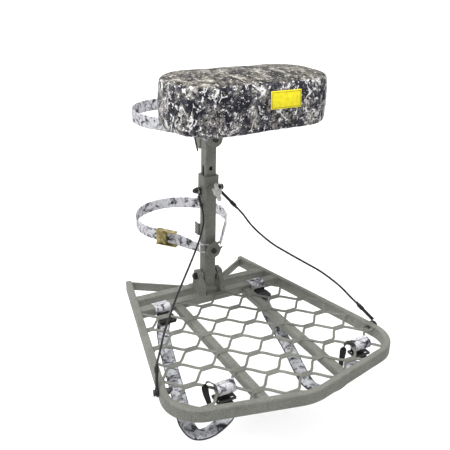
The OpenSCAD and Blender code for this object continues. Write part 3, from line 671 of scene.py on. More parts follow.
def strand_point(k, x):
    """A point of strand k: it runs from the bonds of one row to those of the next and back."""
    bond = SHIFT_X + (PITCH_X / 2 if k % 2 == 0 else 0) + PITCH_X / 2
    u = abs((x - bond + PITCH_X / 2) % PITCH_X - PITCH_X / 2)
    t = min(max((u - BOND_HALF) / (PITCH_X / 2 - 2 * BOND_HALF), 0), 1)
    t = 0.45 * t + 0.55 * t * t * (3 - 2 * t)
    return Vector((x, row_y(k) - 2.75 - 34 * t, MESH_Z - 0.8 + 1.6 * t))


def make_mesh():
    """Raised expanded metal: tilted strands that meet in bonds, with their ends tacked to the frame."""
    tilt = math.radians(30)
    bar = [(-2.9, -1.1), (-2.5, -1.6), (2.5, -1.6), (2.9, -1.1), (2.9, 1.1), (2.5, 1.6), (-2.5, 1.6),
           (-2.9, 1.1)]
    ring = [(x * MM, y * MM) for x, y in bar]
    parts, ends = [], []
    for k in range(-1, 12):
        run = []
        for step in range(-148, 149):
            p = strand_point(k, step * 2)
            inside = room(p) > -1.5 and not blocked(p)
            if inside:
                run.append(p)
            if run and (not inside or step == 148):
                if len(run) > 4:
                    path = [p * MM for p in run]
                    sides = []
                    for t in tangents(path):
                        flat = Vector((t.y, -t.x, 0)).normalized()
                        sides.append(flat * math.cos(tilt) - Z_AXIS * math.sin(tilt))
                    parts.append(sweep(path, sides, [ring] * len(path))[:2])
                    ends += [p for p in (run[0], run[-1]) if room(p) < 3 and p.y < MESH_REAR - 6]
                run = []
    done(join("expanded_mesh", parts, "frame_coat", False), "platform", ["deck_mesh"])
    make_tacks(ends)


def make_tacks(ends):
    """Weld blobs, and the upturned tabs that hold the mesh's ends against the frame."""
    parts = []
    for p in ends:
        gap, out = nearest_side(p)
        along = Vector((-out.y, out.x, 0))
        wall = Vector((p.x, p.y, 0)) + out * gap
        at = Vector((wall.x, wall.y, MESH_Z)) * MM
        parts.append(ball(at + Vector((0, 0, 0.4 * MM)), 4.2 * MM, 3.6 * MM, 2.6 * MM, 12))
        if abs(out.x) > 0.8:
            tab = [(-2.9, -3), (2.9, -3), (2.4, 3.2), (-2.0, 3.4)]
            parts.append(prism([(x * MM, y * MM) for x, y in tab], at - out * 2.2 * MM, along,
                               Z_AXIS, out * 2.6 * MM))
    blobs = join("mesh_tacks", parts, "frame_coat")
    fuse(blobs, 0.0011, 4)
    done(blobs, "platform")


def bead(path, r):
    """A rippled weld bead along a line."""
    length = length_of(path)
    count = max(int(length / (1.1 * MM)), 4)
    fine, radii = [], []
    for i in range(count + 1):
        s = i / count * (len(path) - 1)
        k = min(int(s), len(path) - 2)
        p = path[k].lerp(path[k + 1], s - k)
        fine.append(p + Vector((noise.noise(p * 400), noise.noise(p * 410 + Vector((3, 0, 0))), 0)) * 0.0003)
        taper = min(1, i / 2 + 0.5, (count - i) / 2 + 0.5)
        radii.append(r * taper * (1 + 0.16 * math.sin(i * 2.6) + 0.1 * noise.noise(p * 300)))
    return tube(fine, radii, 8)


def make_welds():
    rear_lo, rear_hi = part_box("rear_crossbar")
    front_lo, front_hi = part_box("front_crossbar")
    top = rear_hi.z
    lines = []
    for lo, hi in ((rear_lo, rear_hi), (front_lo, front_hi)):
        for sign in (-1, 1):
            def edge(y):
                lean = 121 / 550
                return sign * (174.5 + lean * (-33 - y / MM) - 8.3) * MM
            ys = (lo.y + 0.0015, hi.y - 0.0015)
            lines.append([Vector((edge(y), y, top - 0.0012)) for y in ys])
            lines.append([Vector((edge(ys[0]), ys[0] - 0.0012, z)) for z in (top - 0.003, lo.z + 0.003)])
    for ear in ("left_ear", "right_ear"):
        lo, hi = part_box(ear)
        for x in (lo.x, hi.x):
            for bar_lo, bar_hi in ((rear_lo, rear_hi), (front_lo, front_hi)):
                y0, y1 = max(lo.y, bar_lo.y + 0.002), min(hi.y, bar_hi.y - 0.001)
                lines.append([Vector((x, y0, top + 0.0004)), Vector((x, y1, top + 0.0004))])
        lines.append([Vector((lo.x + 0.001, lo.y, top + 0.0004)), Vector((hi.x - 0.001, lo.y, top + 0.0004))])
    for bar in ("left_stringer", "right_stringer"):
        lo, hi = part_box(bar)
        lines.append([Vector((lo.x + 0.003, hi.y - 0.0008, hi.z)), Vector((hi.x - 0.003, hi.y - 0.0008, hi.z))])
        for x in (lo.x, hi.x):
            lines.append([Vector((x, hi.y - 0.0008, hi.z - 0.004)), Vector((x, hi.y - 0.0008, lo.z + 0.006))])
    for bar, sign in (("left_trunk_bar", -1), ("right_trunk_bar", 1)):
        lo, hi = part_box(bar)
        x = sign * max(abs(lo.x), abs(hi.x))
        lines.append([Vector((x - sign * 0.001, hi.y - 0.003, hi.z - 0.001)),
                      Vector((x - sign * 0.001, hi.y - 0.003, lo.z + 0.002))])
        near = min(abs(lo.x), abs(hi.x)) * sign
        lines.append([Vector((near + sign * 0.002, lo.y + 0.0005, hi.z)),
                      Vector((near + sign * 0.018, lo.y + 0.0005, hi.z))])
    done(join("platform_welds", [bead(line, 0.0021) for line in lines], "frame_coat"), "platform")

    lines = []
    half = POST_HALF
    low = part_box("collar")[0].z
    corners = ((-1, 0.75), (-1, -0.75), (-0.75, -1), (0.75, -1), (1, -0.75), (1, 0.75), (0.75, 1), (-0.75, 1),
               (-1, 0.75))
    lines.append([Vector((x * half, POST_Y + y * half, low)) for x, y in corners])
    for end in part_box("lower_trunk_brace"):
        lines.append([Vector((x, POST_Y + half, end.z)) for x in (-half + 0.002, half - 0.002)])
    lo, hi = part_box("lower_standoff")
    mid_z = (lo.z + hi.z) / 2
    lines.append([Vector((0.0093 * math.cos(a * math.pi / 12), POST_Y - POST_HALF - 0.0004,
                          mid_z + 0.0093 * math.sin(a * math.pi / 12))) for a in range(25)])
    done(join("post_welds", [bead(line, 0.0017) for line in lines], "frame_coat"), "post")


def make_hardware():
    """Closed cap nut with a domed end, in place of the CAD one."""
    lo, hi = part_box("cross_nut")
    centre = Vector((hi.x, (lo.y + hi.y) / 2, (lo.z + hi.z) / 2))
    axis = Vector((-1, 0, 0))
    hexagon = round_section(6.5 / math.cos(math.pi / 6) * MM, 6.5 / math.cos(math.pi / 6) * MM, 6)
    parts = [prism(hexagon, centre + axis * 0.3 * MM, Y_AXIS, Z_AXIS, axis * 5.6 * MM)]
    dome = [(0, 7.9), (1.0, 8.0), (1.4, 7.2), (5.6, 6.3), (7.6, 6.0), (9.6, 5.1), (11.2, 3.6), (12.2, 1.6),
            (12.4, 0.2)]
    parts.append(lathe([(d * MM, r * MM) for d, r in dome], centre, axis))
    nut = join("cap_nut", parts, "black_hardware", False)
    soften(nut, 0.0006)
    done(nut, "post", ["cross_nut"])


def make_wing():
    """Cast T-handle screw: a swollen hub with two tapered, rounded grips."""
    lo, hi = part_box("wing_screw")
    joint = next(j for j in frame["joints"] if j["name"] == "wing_turn")
    axle = Vector(joint["pos_m"])
    lean = Vector((-math.sin(math.radians(15)), 0, math.cos(math.radians(15))))
    hub = Vector((axle.x, lo.y + 0.0085, axle.z))
    parts = [ball(hub, 0.0112, 0.0088, 0.0108, 20)]
    across = lean.cross(Y_AXIS)
    for sign, wide, tip in ((1, 4.3, 5.2), (-1, 5.4, 6.0)):
        start = hub + Vector((0, -0.001, 0))
        path = [start + lean * sign * d * MM for d in (0, 6, 12, 18, 21, 24.5)]
        sizes = [(wide + 2, 6.5), (wide + 0.6, 5.4), (wide - 0.3, 4.8), (tip, 4.8), (tip, 4.4), (tip * 0.55, 3)]
        rings = [round_section(a * MM, b * MM, 16) for a, b in sizes]
        parts.append(sweep(path, [across] * len(path), rings)[:2])
    parts.append(lathe([(0, 8.6 * MM), (6 * MM, 8.2 * MM), (9 * MM, 5.2 * MM), (hi.y - hub.y, 4.9 * MM)],
                       hub, Y_AXIS))
    wing = join("cast_handle_screw", parts, "cast_alloy")
    fuse(wing, 0.0009, 6)
    done(wing, "wing", ["wing_screw"])


# ---------- trunk straps ----------
LEAVE = math.pi / 2 - math.atan2(POST_HALF + 3 * MM, -POST_LO.y)
LEAVE -= math.acos((TRUNK_R + 1 * MM) / math.hypot(POST_HALF + 2 * MM, POST_LO.y - 1 * MM))
LEFT_ANGLE = math.pi + LEAVE
WEB_T = 1.7 * MM
NARROW = [(0.019, 0.0028), (0.027, 0.0019)]


def on_trunk(angle, z, out=0.9):
    r = TRUNK_R + out * MM
    return Vector((r * math.cos(angle), r * math.sin(angle), z))


def at_buckle(x, y, z=0.0):
    """A point from the buckle's own axes: x towards the post, y inwards, in mm."""
    a = LEFT_ANGLE
    along = Vector((-math.sin(a), math.cos(a), 0))
    inward = Vector((-math.cos(a), -math.sin(a), 0))
    return TRUNK_R * Vector((math.cos(a), math.sin(a), 0)) + along * x * MM + inward * y * MM + Z_AXIS * z * MM


def band_points(z, a0, a1, step=5):
    n = int(math.degrees(a1 - a0) / step)
    wave = lambda a: 0.9 + 0.35 * noise.noise(Vector((a * 3, z * 9, 0)))
    return [on_trunk(a0 + (a1 - a0) * k / n, z, wave(a0 + (a1 - a0) * k / n)) for k in range(n + 1)]


def loop_round(x0, y, z, r, low, high, sign, drop):
    """A folded tape's loop round a standoff, open on the side that its lead comes from."""
    start = Vector((x0 * sign, y + drop, high))
    pts = [start, Vector((x0 * 0.62 * sign, y + drop * 0.45, high * 0.45 + (z + r) * 0.55))]
    for a in range(100, -101, -25):
        t = math.radians(a)
        pts.append(Vector((-r * math.cos(t) * sign, y, z + r * math.sin(t))))
    pts += [Vector((x0 * 0.62 * sign, y + drop * 0.45, low * 0.45 + (z - r) * 0.55)),
            Vector((x0 * sign, y + drop, low))]
    return pts


def standoff_loops(name, body, x0, z, low, high, drop, places):
    """The sewn loops round a standoff, one for each lead."""
    parts = []
    for sign, y in places:
        path = spline(loop_round(x0, y, z, 0.0111, low, high, sign, drop), 3)
        verts, faces, _ = sweep(path, [Y_AXIS] * len(path), [flat_section(0.0058, 0.0026)] * len(path))
        parts.append((verts, faces, [(v.x + v.z, v.y) for v in verts]))
    done(join(name, parts, "webbing"), body)


def make_straps():
    # Lower strap: right lead, once round the trunk, up to the buckle's fixed bar
    so_lo, so_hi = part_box("lower_standoff")
    so_z = (so_lo.z + so_hi.z) / 2
    post_front = POST_LO.y
    route = [Vector((0.033, post_front + 0.0075, so_z + 0.008)), Vector((0.052, -0.1445, so_z + 0.0125))]
    route += band_points(0.0, -LEAVE, LEFT_ANGLE - math.radians(3)) + [at_buckle(2, -1.6), at_buckle(12, -1.5)]
    sizes = NARROW + [(WEB_W, WEB_T)] * (len(route) - 2)
    done(strap("lower_strap_band", route, sizes, 3), "post", ["lower_strap"])
    # The buckle's free side: through the cam and on to the post
    route = [at_buckle(*p) for p in ((-3, -6.4), (8, -6.2), (22, -6.4), (36, -6.9), (50, -6.0, -1), (66, -4.2, -4),
                                     (82, -3.4, -7.5), (97, -3.4, -10))]
    route += [Vector((-0.0365, post_front + 0.0125, so_z + 0.0072)),
              Vector((-0.0305, post_front + 0.0045, so_z + 0.0072))]
    sizes = [(WEB_W, WEB_T)] * 5 + [(0.031, 0.0018), (0.029, 0.002), (0.026, 0.0026), (0.024, 0.0028),
                                    (0.021, 0.003)]
    done(strap("lower_strap_tail_band", route, sizes, 4), "post", ["lower_strap_tail"])
    standoff_loops("lower_strap_loops", "post", -0.034, so_z, so_z - 0.003, so_z + 0.017, 0.012,
                   ((1, so_hi.y - 0.0042), (-1, so_hi.y - 0.0104)))
    # Upper strap: both leads and once round the trunk
    so_lo, so_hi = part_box("upper_standoff")
    so_z = (so_lo.z + so_hi.z) / 2
    inner, outer = (0.029, UPPER_FRONT + 0.0052, so_z + 0.0105), (0.052, -0.1445, so_z + 0.016)
    lead = [Vector(inner), Vector(outer)]
    route = lead + band_points(UPPER_STRAP_Z, -LEAVE, LEFT_ANGLE) + [Vector((-p.x, p.y, p.z)) for p in lead[::-1]]
    sizes = NARROW + [(WEB_W, WEB_T)] * (len(route) - 4) + NARROW[::-1]
    done(strap("upper_strap_band", route, sizes, 3), "seat_post", ["upper_strap"])
    standoff_loops("upper_strap_loops", "seat_post", -0.029, so_z, so_z + 0.004, so_z + 0.014, 0.008,
                   ((1, so_hi.y - 0.0045), (-1, so_hi.y - 0.0115)))


def make_buckle_lever():
    """Stamped cam lever: a toothed cam on the pin and a curved thumb plate with a turned lip."""
    joint = next(j for j in frame["joints"] if j["name"] == "cam_open")
    pin = Vector(joint["pos_m"])
    origin = at_buckle(0, 0)
    along = (at_buckle(1, 0) - origin) / MM
    outward = -(at_buckle(0, 1) - origin) / MM
    profile = [(4.1, -1.2), (3.0, -3.3), (1.0, -4.0), (-0.6, -3.4), (-1.8, -4.1), (-2.6, -2.9), (-4.0, -2.9),
               (-4.1, -0.6), (-6.5, 1.0), (-12, 1.9), (-19, 1.6), (-23.5, 0.4), (-25.6, -1.4), (-26.6, -0.6),
               (-25.2, 2.2), (-20, 4.0), (-12, 4.3), (-5, 3.9), (0, 4.2), (3.0, 2.9)]
    base = Vector((pin.x, pin.y, 0)) - Z_AXIS * 0.0169
    verts, faces = prism([(x * MM, y * MM) for x, y in profile], base, along, outward, Z_AXIS * 0.0338)
    lever = build("cam_lever_plate", verts, faces, "brass_buckle", smooth=False)
    soften(lever, 0.0005)
    done(lever, "cam_lever", ["cam_buckle_lever"])


# ---------- stowed shoulder straps ----------
SLINGS = {
    "left": [(-148, -214, -174), (-168, -250, -178), (-191, -320, -180), (-211, -395, -184), (-228, -465, -189),
             (-242, -520, -194), (-249, -556, -204), (-241, -582, -214), (-219, -592, -212), (-191, -590, -204),
             (-166, -580, -195), (-157, -562, -188)],
    "right": [(136, -214, -174), (133, -240, -182), (114, -300, -187), (104, -365, -198), (91, -430, -205),
              (72, -490, -206), (55, -545, -203), (50, -578, -199), (60, -600, -196), (84, -607, -193),
              (113, -601, -190), (138, -591, -188), (162, -577, -186), (184, -562, -184)],
}
SLING_W, SLING_T = 32, 6


def padded_section(w, t):
    """Section of a padded strap: flat bound edges and a filled middle."""
    xs = (-1, -0.96, -0.9, -0.87, -0.6, -0.2, 0.2, 0.6, 0.87, 0.9, 0.96, 1)
    half = {1: 0.3, 0.96: 0.5, 0.9: 0.5, 0.87: 0.34, 0.6: 0.86, 0.2: 1.0}
    top = [(x * w / 2, half[abs(x)] * t / 2) for x in xs]
    return top + [(x, -y) for x, y in reversed(top)]


def make_slings():
    for side, route in SLINGS.items():
        points = mm(route)
        path = spline(points, 6)
        across = level_sides(path)
        n = len(path)
        rings = []
        for i in range(n):
            ends = min(1, (i + 1) / 6, (n - i) / 6)
            puff = 1 + 0.12 * noise.noise(path[i] * 40)
            rings.append(padded_section(SLING_W * MM, SLING_T * MM * (0.45 + 0.55 * ends) * puff))
        verts, faces, uvs = sweep(path, across, rings)
        sling = build(side + "_padded_strap", verts, faces, "padded_sling", uvs)
        sling.data.materials.append(EDGE_BLACK)
        m = len(rings[0])
        edge = {0, 1, m // 2 - 3, m // 2 - 2, m // 2 - 1, m // 2, m // 2 + 1, m - 3, m - 2, m - 1}
        for poly in sling.data.polygons[:(n - 1) * m]:
            if poly.index % m in edge:
                poly.material_index = 1
        done(sling, "platform", [side + "_shoulder_strap"])


def wind(x, y, z, half_y, half_z, turns, start, width, thick=1.7):
    """Webbing wound round a bar."""
    per = 32
    path, sides = [], []
    n = int(turns * per)
    for k in range(n + 1):
        a = start + 2 * math.pi * k / per
        c, s = math.cos(a), math.sin(a)
        r = (abs(c / half_y) ** 3.4 + abs(s / half_z) ** 3.4) ** (-1 / 3.4)
        grow = thick * 0.6 + (thick + 0.25) * k / per
        path.append(Vector((x + 0.8 * math.sin(k / per * 5), y + c * (r + grow), z + s * (r + grow))) * MM)
        sides.append(X_AXIS)
    return sweep(path, sides, [flat_section(width * MM, thick * MM)] * len(path))


def make_wraps():
    bar_lo, bar_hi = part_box("front_crossbar")
    bar_y, bar_z = (bar_lo.y + bar_hi.y) / 2 / MM, (bar_lo.z + bar_hi.z) / 2 / MM
    bond_y = row_y(FRONT_WRAP_ROW)
    rolls = {"rear_wraps": [(x, bar_y, bar_z, 12.8, 10.3, 1.15, 0.6) for x in WRAP_X["rear"]],
             "front_wraps": [(x + 2, bond_y, MESH_Z, 7.2, 5.6, 3.15, 0.9) for x in WRAP_X["front"]]}
    for node, list_of in rolls.items():
        parts = [wind(*place, WRAP_W - 1.6) for place in list_of]
        done(join(node + "_webbing", parts, "webbing"), "platform", [node])
    # Black tapes from the wraps to the sliders, and the loose ends beside the front wraps
    tapes, parts = [], []
    for x in WRAP_X["rear"]:
        tapes.append(([(x, bar_y - 15.6, bar_z - 4), (x, bar_y - 20, bar_z - 9), (x, bar_y - 30, bar_z - 12),
                       (x, bar_y - 46, bar_z - 12.5), (x + 1, bar_y - 51, bar_z - 17), (x + 1, bar_y - 44, bar_z - 21),
                       (x, bar_y - 30, bar_z - 22)], (1, 0, 0), 38))
    for x in WRAP_X["front"]:
        tapes.append(([(x, bond_y + 10, MESH_Z - 9), (x, bond_y + 14, MESH_Z - 17), (x, bond_y + 8, MESH_Z - 25),
                       (x, bond_y - 6, MESH_Z - 27), (x, bond_y - 16, MESH_Z - 30)], (1, 0, 0), 28))
    y, z = bond_y, MESH_Z
    tapes.append(([(181, y + 6, z + 10), (170, y + 4, z + 13), (159, y + 2, z + 11), (152, y - 1, z + 2),
                   (148, y - 4, z - 10), (143, y - 8, z - 24), (139, y - 12, z - 38)], (0.2, 0.8, -0.5), 24))
    tapes.append(([(-181, y + 6, z + 10), (-188, y + 6, z + 18), (-196, y + 6, z + 22), (-203, y + 3, z + 16),
                   (-203, y, z + 2), (-200, y - 5, z - 14), (-197, y - 10, z - 30)], (0.2, 0.8, -0.5), 22))
    for pts, side, width in tapes:
        path = spline(mm(pts), 5)
        taper = 0.62 if width < 25 else 0.0
        rings = [flat_section(width * (1 - taper * k / len(path)) * MM, 1.6 * MM) for k in range(len(path))]
        turn = Vector((0.85, -0.35, 0.25)) if taper else Vector(side)
        sides = [Vector(side).lerp(turn, smooth_step(k / len(path), 0.3, 0.6)).normalized()
                 for k in range(len(path))]
        parts.append(sweep(path, sides, rings))
    done(join("black_tapes", parts, BLACK_TAPE), "platform")


# ---------- seat ----------
SEAT_LO, SEAT_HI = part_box("seat_cushion")
SEAT_MID = (SEAT_LO + SEAT_HI) / 2
RIM_Z = SEAT_HI.z - 10.5 * MM
HALF_W, HALF_D, CORNER = 187.0, 98.0, 83.0


def seat_outline(inset, z):
    """Rounded plan outline of the cushion at one height, with the same count of points everywhere."""
    a, b, r = HALF_W - inset, HALF_D - inset, max(CORNER - inset, 6)
    out = []
    for q, (sx, sy) in enumerate(((1, -1), (1, 1), (-1, 1), (-1, -1))):
        cx, cy = sx * (a - r), sy * (b - r)
        start = math.radians(-90 + 90 * q)
        for k in range(13):
            t = start + math.radians(90 * k / 12)
            out.append(Vector((cx + r * math.cos(t), cy + r * math.sin(t), 0)))
        after = ((1, 1), (-1, 1), (-1, -1), (1, -1))[q]
        last = out[-1]
        end = Vector((after[0] * (a - r) + r * math.cos(start + math.pi / 2),
                      after[1] * (b - r) + r * math.sin(start + math.pi / 2), 0))
        steps = 4 if q % 2 == 0 else 12
        for k in range(1, steps):
            out.append(last.lerp(end, k / steps))
    return [Vector((SEAT_MID.x + p.x * MM, SEAT_MID.y + p.y * MM, z)) for p in out]


def cushion_base():
    bottom = SEAT_LO.z
    rows = [(14, 62), (14, 34), (4.5, 29), (2.0, 22), (2.0, 12), (4.0, 5.5), (9, 2.5), (20, 1.5), (40, 0.5),
            (60, 0.0), (80, 0.5), (96, 1.5), (101.5, 3.0), (104.0, 7), (107.5, 20), (110.5, 46), (111.5, 74)]
    verts = []
    for up, inset in rows:
        verts += seat_outline(inset, bottom + up * MM)
    n = len(verts) // len(rows)
    faces = skin_faces(len(rows), n)
    verts += [Vector((SEAT_MID.x, SEAT_MID.y, bottom + up * MM)) for up in (14, 112)]
    top = (len(rows) - 1) * n
    for k in range(n):
        faces.append((len(verts) - 2, (k + 1) % n, k))
        faces.append((len(verts) - 1, top + k, top + (k + 1) % n))
    return verts, faces


def inflate(obj, cap):
    """Cloth under pressure, held at the pan; each point moves at most cap from where it began."""
    start = [v.co.copy() for v in obj.data.vertices]
    held = obj.vertex_groups.new(name="held")
    for v in obj.data.vertices:
        low = v.co.z < SEAT_LO.z + 8 * MM
        rim = abs(v.co.z - RIM_Z) < 3 * MM
        held.add([v.index], 1.0 if low else 0.35 if rim else 0.0, "REPLACE")
    cloth = obj.modifiers.new("cloth", "CLOTH")
    cloth.settings.use_pressure = True
    cloth.settings.uniform_pressure_force = 4.0
    cloth.settings.effector_weights.gravity = 0.0
    cloth.settings.vertex_group_mass = "held"
    cloth.settings.quality = 5
    cloth.settings.tension_stiffness = 12
    cloth.settings.compression_stiffness = 12
    cloth.settings.bending_stiffness = 0.6
    scene = bpy.context.scene
    cloth.point_cache.frame_start, cloth.point_cache.frame_end = 1, 20
    for step in range(1, 21):
        scene.frame_set(step)
    bake(obj)
    scene.frame_set(1)
    for v, was in zip(obj.data.vertices, start):
        move = v.co - was
        if move.length > cap:
            v.co = was + move * (cap / move.length)


def shape_cushion(obj):
    """Seam crease at the rim, puckers above the drawn bottom edge and soft dents."""
    mesh = obj.data
    loop = seat_outline(2.4, RIM_Z)
    tree = kdtree.KDTree(len(loop) * 4)
    fine = []
    for i, p in enumerate(loop):
        q = loop[(i + 1) % len(loop)]
        fine += [p.lerp(q, k / 4) for k in range(4)]
    for i, p in enumerate(fine):
        tree.insert(p, i)
    tree.balance()
    normals = [v.normal.copy() for v in mesh.vertices]
    for v, normal in zip(mesh.vertices, normals):
        p = v.co
        rel = Vector((p.x - SEAT_MID.x, p.y - SEAT_MID.y, 0))
        ang = math.atan2(rel.y / 0.6, rel.x)
        _, _, d = tree.find(p)
        height = (p.z - SEAT_LO.z) / MM
        move = -1.7 * MM * math.exp(-(d / (3.2 * MM)) ** 2)
        low = 1 - smooth_step(height, 6, 52)
        pucker = noise.noise(Vector((ang * 9.5, height * 0.012, 1.7)))
        pucker += 0.6 * noise.noise(Vector((ang * 21, height * 0.02, 5.2)))
        move += 2.3 * MM * low * pucker * smooth_step(height, 0, 10)
        high = smooth_step(height, 60, 100) * (1 - smooth_step(height, 100, 106))
        move += 1.0 * MM * high * noise.noise(Vector((ang * 13, height * 0.02, 8.8)))
        side = smooth_step(height, 8, 20) * (1 - smooth_step(height, 94, 102))
        move += 2.2 * MM * side * noise.noise(p * 17)
        top = smooth_step(height, 104, 107)
        move += 1.5 * MM * top * noise.noise(p * 21 + Vector((4, 1, 7)))
        move += 0.35 * MM * noise.noise(p * 95)
        under = 1 - smooth_step(height, 0, 7)
        fold = noise.noise(Vector((ang * 16, 0.4, 3.1)))
        p = p + normal * move
        p.z += under * 1.6 * MM * fold
        sag = math.exp(-((rel.x + 0.075) / 0.085) ** 2) * (1 - smooth_step(height, 4, 60))
        p.z -= 4.0 * MM * sag
        v.co = p


def make_seat():
    verts, faces = cushion_base()
    cushion = build("padded_cushion", verts, faces, "seat_fabric")
    done(cushion, None)
    skin = cushion.modifiers.new("skin", "REMESH")
    skin.mode = "VOXEL"
    skin.voxel_size = 0.0052
    bake(cushion)
    inflate(cushion, 6 * MM)
    finer = cushion.modifiers.new("finer", "SUBSURF")
    finer.levels = finer.render_levels = 1
    bake(cushion)
    shape_cushion(cushion)
    cushion.data.polygons.foreach_set("use_smooth", [True] * len(cushion.data.polygons))
    cushion.data.update()
    cushion.data.materials.clear()
    cushion.data.materials.append(MATS["seat_fabric"])
    done(cushion, "seat", ["seat_cushion"])
    make_label(cushion)


def make_label(cushion):
    """A plain patch that lies on the cushion's front, with its stitched border."""
    lo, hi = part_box("seat_label")
    graph = bpy.context.evaluated_depsgraph_get()
    tree = bvhtree.BVHTree.FromObject(cushion, graph)

    def skin(x, z, lift):
        hit, normal, _, _ = tree.ray_cast(Vector((x, SEAT_LO.y - 0.05, z)), Y_AXIS)
        return hit - Y_AXIS * lift

    cols, rows = 30, 16
    verts, faces, uvs = [], [], []
    for layer, lift in ((0, -0.0004), (1, 0.0009)):
        for j in range(rows + 1):
            for i in range(cols + 1):
                x = lo.x + (hi.x - lo.x) * i / cols
                z = lo.z + (hi.z - lo.z) * j / rows
                edge = min(i, cols - i, j, rows - j)
                dip = 0.0005 if edge == 0 else 0.0003 if edge == 1 else 0
                verts.append(skin(x, z, lift - (dip if layer else 0)))
                uvs.append((x, z))
    n = (cols + 1) * (rows + 1)
    for j in range(rows):
        for i in range(cols):
            a = j * (cols + 1) + i
            quad = (a, a + 1, a + cols + 2, a + cols + 1)
            faces.append(tuple(reversed(quad)))
            faces.append(tuple(n + q for q in quad))
    rim = [i for i in range(cols)] + [(j + 1) * (cols + 1) - 1 for j in range(rows)]
    rim += [rows * (cols + 1) + i for i in range(cols, 0, -1)] + [j * (cols + 1) for j in range(rows, 0, -1)]
    for k, a in enumerate(rim):
        b = rim[(k + 1) % len(rim)]
        faces.append((a, b, b + n, a + n))
    patch = build("plain_patch", verts, faces, "label_patch", uvs)
    done(patch, "seat", ["seat_label"])
    parts = []
    inset = 0.0026
    x0, x1, z0, z1 = lo.x + inset, hi.x - inset, lo.z + inset, hi.z - inset
    corners = [(x0, z0), (x1, z0), (x1, z1), (x0, z1), (x0, z0)]
    for (ax, az), (bx, bz) in zip(corners, corners[1:]):
        length = math.hypot(bx - ax, bz - az)
        count = round(length / 0.0034)
        for k in range(count):
            s0, s1 = (k + 0.12) / count, (k + 0.82) / count
            pts = [skin(ax + (bx - ax) * s, az + (bz - az) * s, up) for s, up in
                   ((s0, 0.0006), ((s0 + s1) / 2, 0.0014), (s1, 0.0006))]
            parts.append(tube(spline(pts, 2), 0.00035, 6))
    done(join("patch_stitches", parts, THREAD), "seat")


def make_drawcord():
    """The cover's drawcord: it hangs below the cushion, with a sealed tip."""
    lo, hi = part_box("seat_drawcord")
    y = (lo.y + hi.y) / 2
    pts = [Vector((lo.x + 0.002, y, hi.z)), Vector((lo.x + 0.0022, y, hi.z - 0.010)),
           Vector((lo.x + 0.0035, y, hi.z - 0.024)), Vector((lo.x + 0.0062, y + 0.001, hi.z - 0.040)),
           Vector((lo.x + 0.0092, y + 0.001, hi.z - 0.055)), Vector((lo.x + 0.0118, y, hi.z - 0.068)),
           Vector((hi.x - 0.0018, y, lo.z + 0.004))]
    path = spline(pts, 5)
    radius = 0.0019
    skin = tube(path, [radius] * (len(path) - 2) + [radius * 0.95, radius * 0.6], 10)
    cord = build("drawcord_tail", *skin, "drawcord")
    done(cord, "seat", ["seat_drawcord"])


make_cables()
make_sleeves()
make_mesh()
make_welds()
make_hardware()
make_wing()
make_straps()
make_buckle_lever()
make_slings()
make_wraps()
make_seat()
make_drawcord()
for node, width in (("collar", 0.0012), ("lower_button", 0.0012), ("upper_button", 0.0012), ("left_ear", 0.001),
                    ("right_ear", 0.001), ("cam_buckle_frame", 0.0005), ("cross_bolt", 0.0006),
                    ("pivot_bolt", 0.0008), ("pivot_nut", 0.0008), ("cable_bottom_bolts", 0.0006),
                    ("cable_bottom_nuts", 0.0006), ("lower_button_screw", 0.0006), ("seat_hinge_bolt", 0.0006),
                    ("strap_sliders", 0.0012), ("left_trunk_bar", 0.0006), ("right_trunk_bar", 0.0006),
                    ("seat_arms", 0.0005), ("post_cap", 0.0006), ("lower_standoff", 0.0005)):
    soften(NODES[node], width)


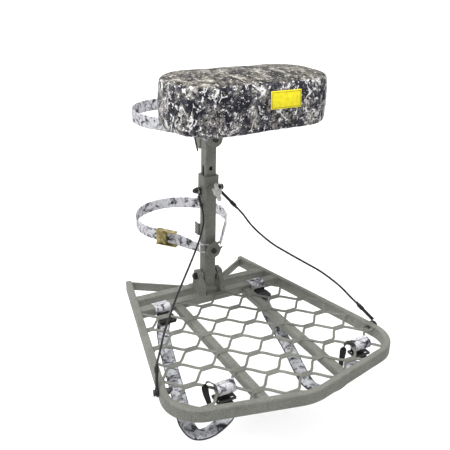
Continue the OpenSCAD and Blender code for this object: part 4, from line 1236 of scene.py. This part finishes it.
# ---------- stage ----------
def make_stage():
    floor_z = CAD_BOX[0].z - 0.55
    turn = [a * math.pi / 16 for a in range(1, 9)]
    profile = [(-6, 0), (2.2, 0)] + [(2.2 + 1.5 * math.sin(t), 1.5 - 1.5 * math.cos(t)) for t in turn] + [(3.7, 6)]
    verts = [Vector((x, y, floor_z + z)) for x in (-8, 8) for y, z in profile]
    n = len(profile)
    faces = [(i, i + 1, n + i + 1, n + i) for i in range(n - 1)]
    look = Look("floor", Roughness=0.9, Specular_IOR_Level=0.1)
    depth = look.add("SeparateXYZ", {"Vector": look.add("TexCoord", {}, out=3)}, out=1)
    glow = look.add("MapRange", {"Value": depth, "From Min": 0.2, "From Max": 2.6, "To Min": 0.1, "To Max": 0.5})
    look.set(look.shader, {"Emission Color": (1, 1, 1, 1), "Emission Strength": glow})
    mat = look.finish(Base_Color=look.ramp(look.noise(look.point(), 3, 4), [(0.3, 0.88), (0.7, 0.92)]))
    floor = build("floor", verts, faces, mat)
    # A soft sky: bright above and behind, dimmer ahead of the stand
    world = bpy.data.worlds.new("studio")
    bpy.context.scene.world = world
    world.use_nodes = True
    tree = world.node_tree
    coords = tree.nodes.new("ShaderNodeTexCoord")
    lean = tree.nodes.new("ShaderNodeVectorMath")
    lean.operation = "DOT_PRODUCT"
    lean.inputs[1].default_value = (-0.15, 0.45, 0.88)
    level = tree.nodes.new("ShaderNodeMapRange")
    for key, value in {"From Min": -0.4, "From Max": 0.95, "To Min": 0.42, "To Max": 0.9}.items():
        level.inputs[key].default_value = value
    back = tree.nodes["Background"]
    back.inputs["Color"].default_value = (1, 1, 1, 1)
    tree.links.new(coords.outputs["Generated"], lean.inputs[0])
    tree.links.new(lean.outputs["Value"], level.inputs["Value"])
    tree.links.new(level.outputs["Result"], back.inputs["Strength"])


def area_light(name, place, target, size, power):
    data = bpy.data.lights.new(name, "AREA")
    data.shape = "DISK"
    data.size = size
    data.energy = power
    light = bpy.data.objects.new(name, data)
    light.location = place
    light.rotation_euler = (Vector(target) - Vector(place)).to_track_quat("-Z", "Y").to_euler()
    bpy.context.scene.collection.objects.link(light)


make_stage()
area_light("key", (-0.8, -0.8, 2.8), (0, -0.3, 0.1), 0.9, 78)
area_light("fill", (-0.7, -3.2, 1.1), (0, -0.3, 0.1), 1.6, 5)
area_light("rim", (1.6, 1.2, 2.4), (0, -0.3, 0.1), 1.2, 12)
bpy.context.scene.view_settings.view_transform = "Standard"
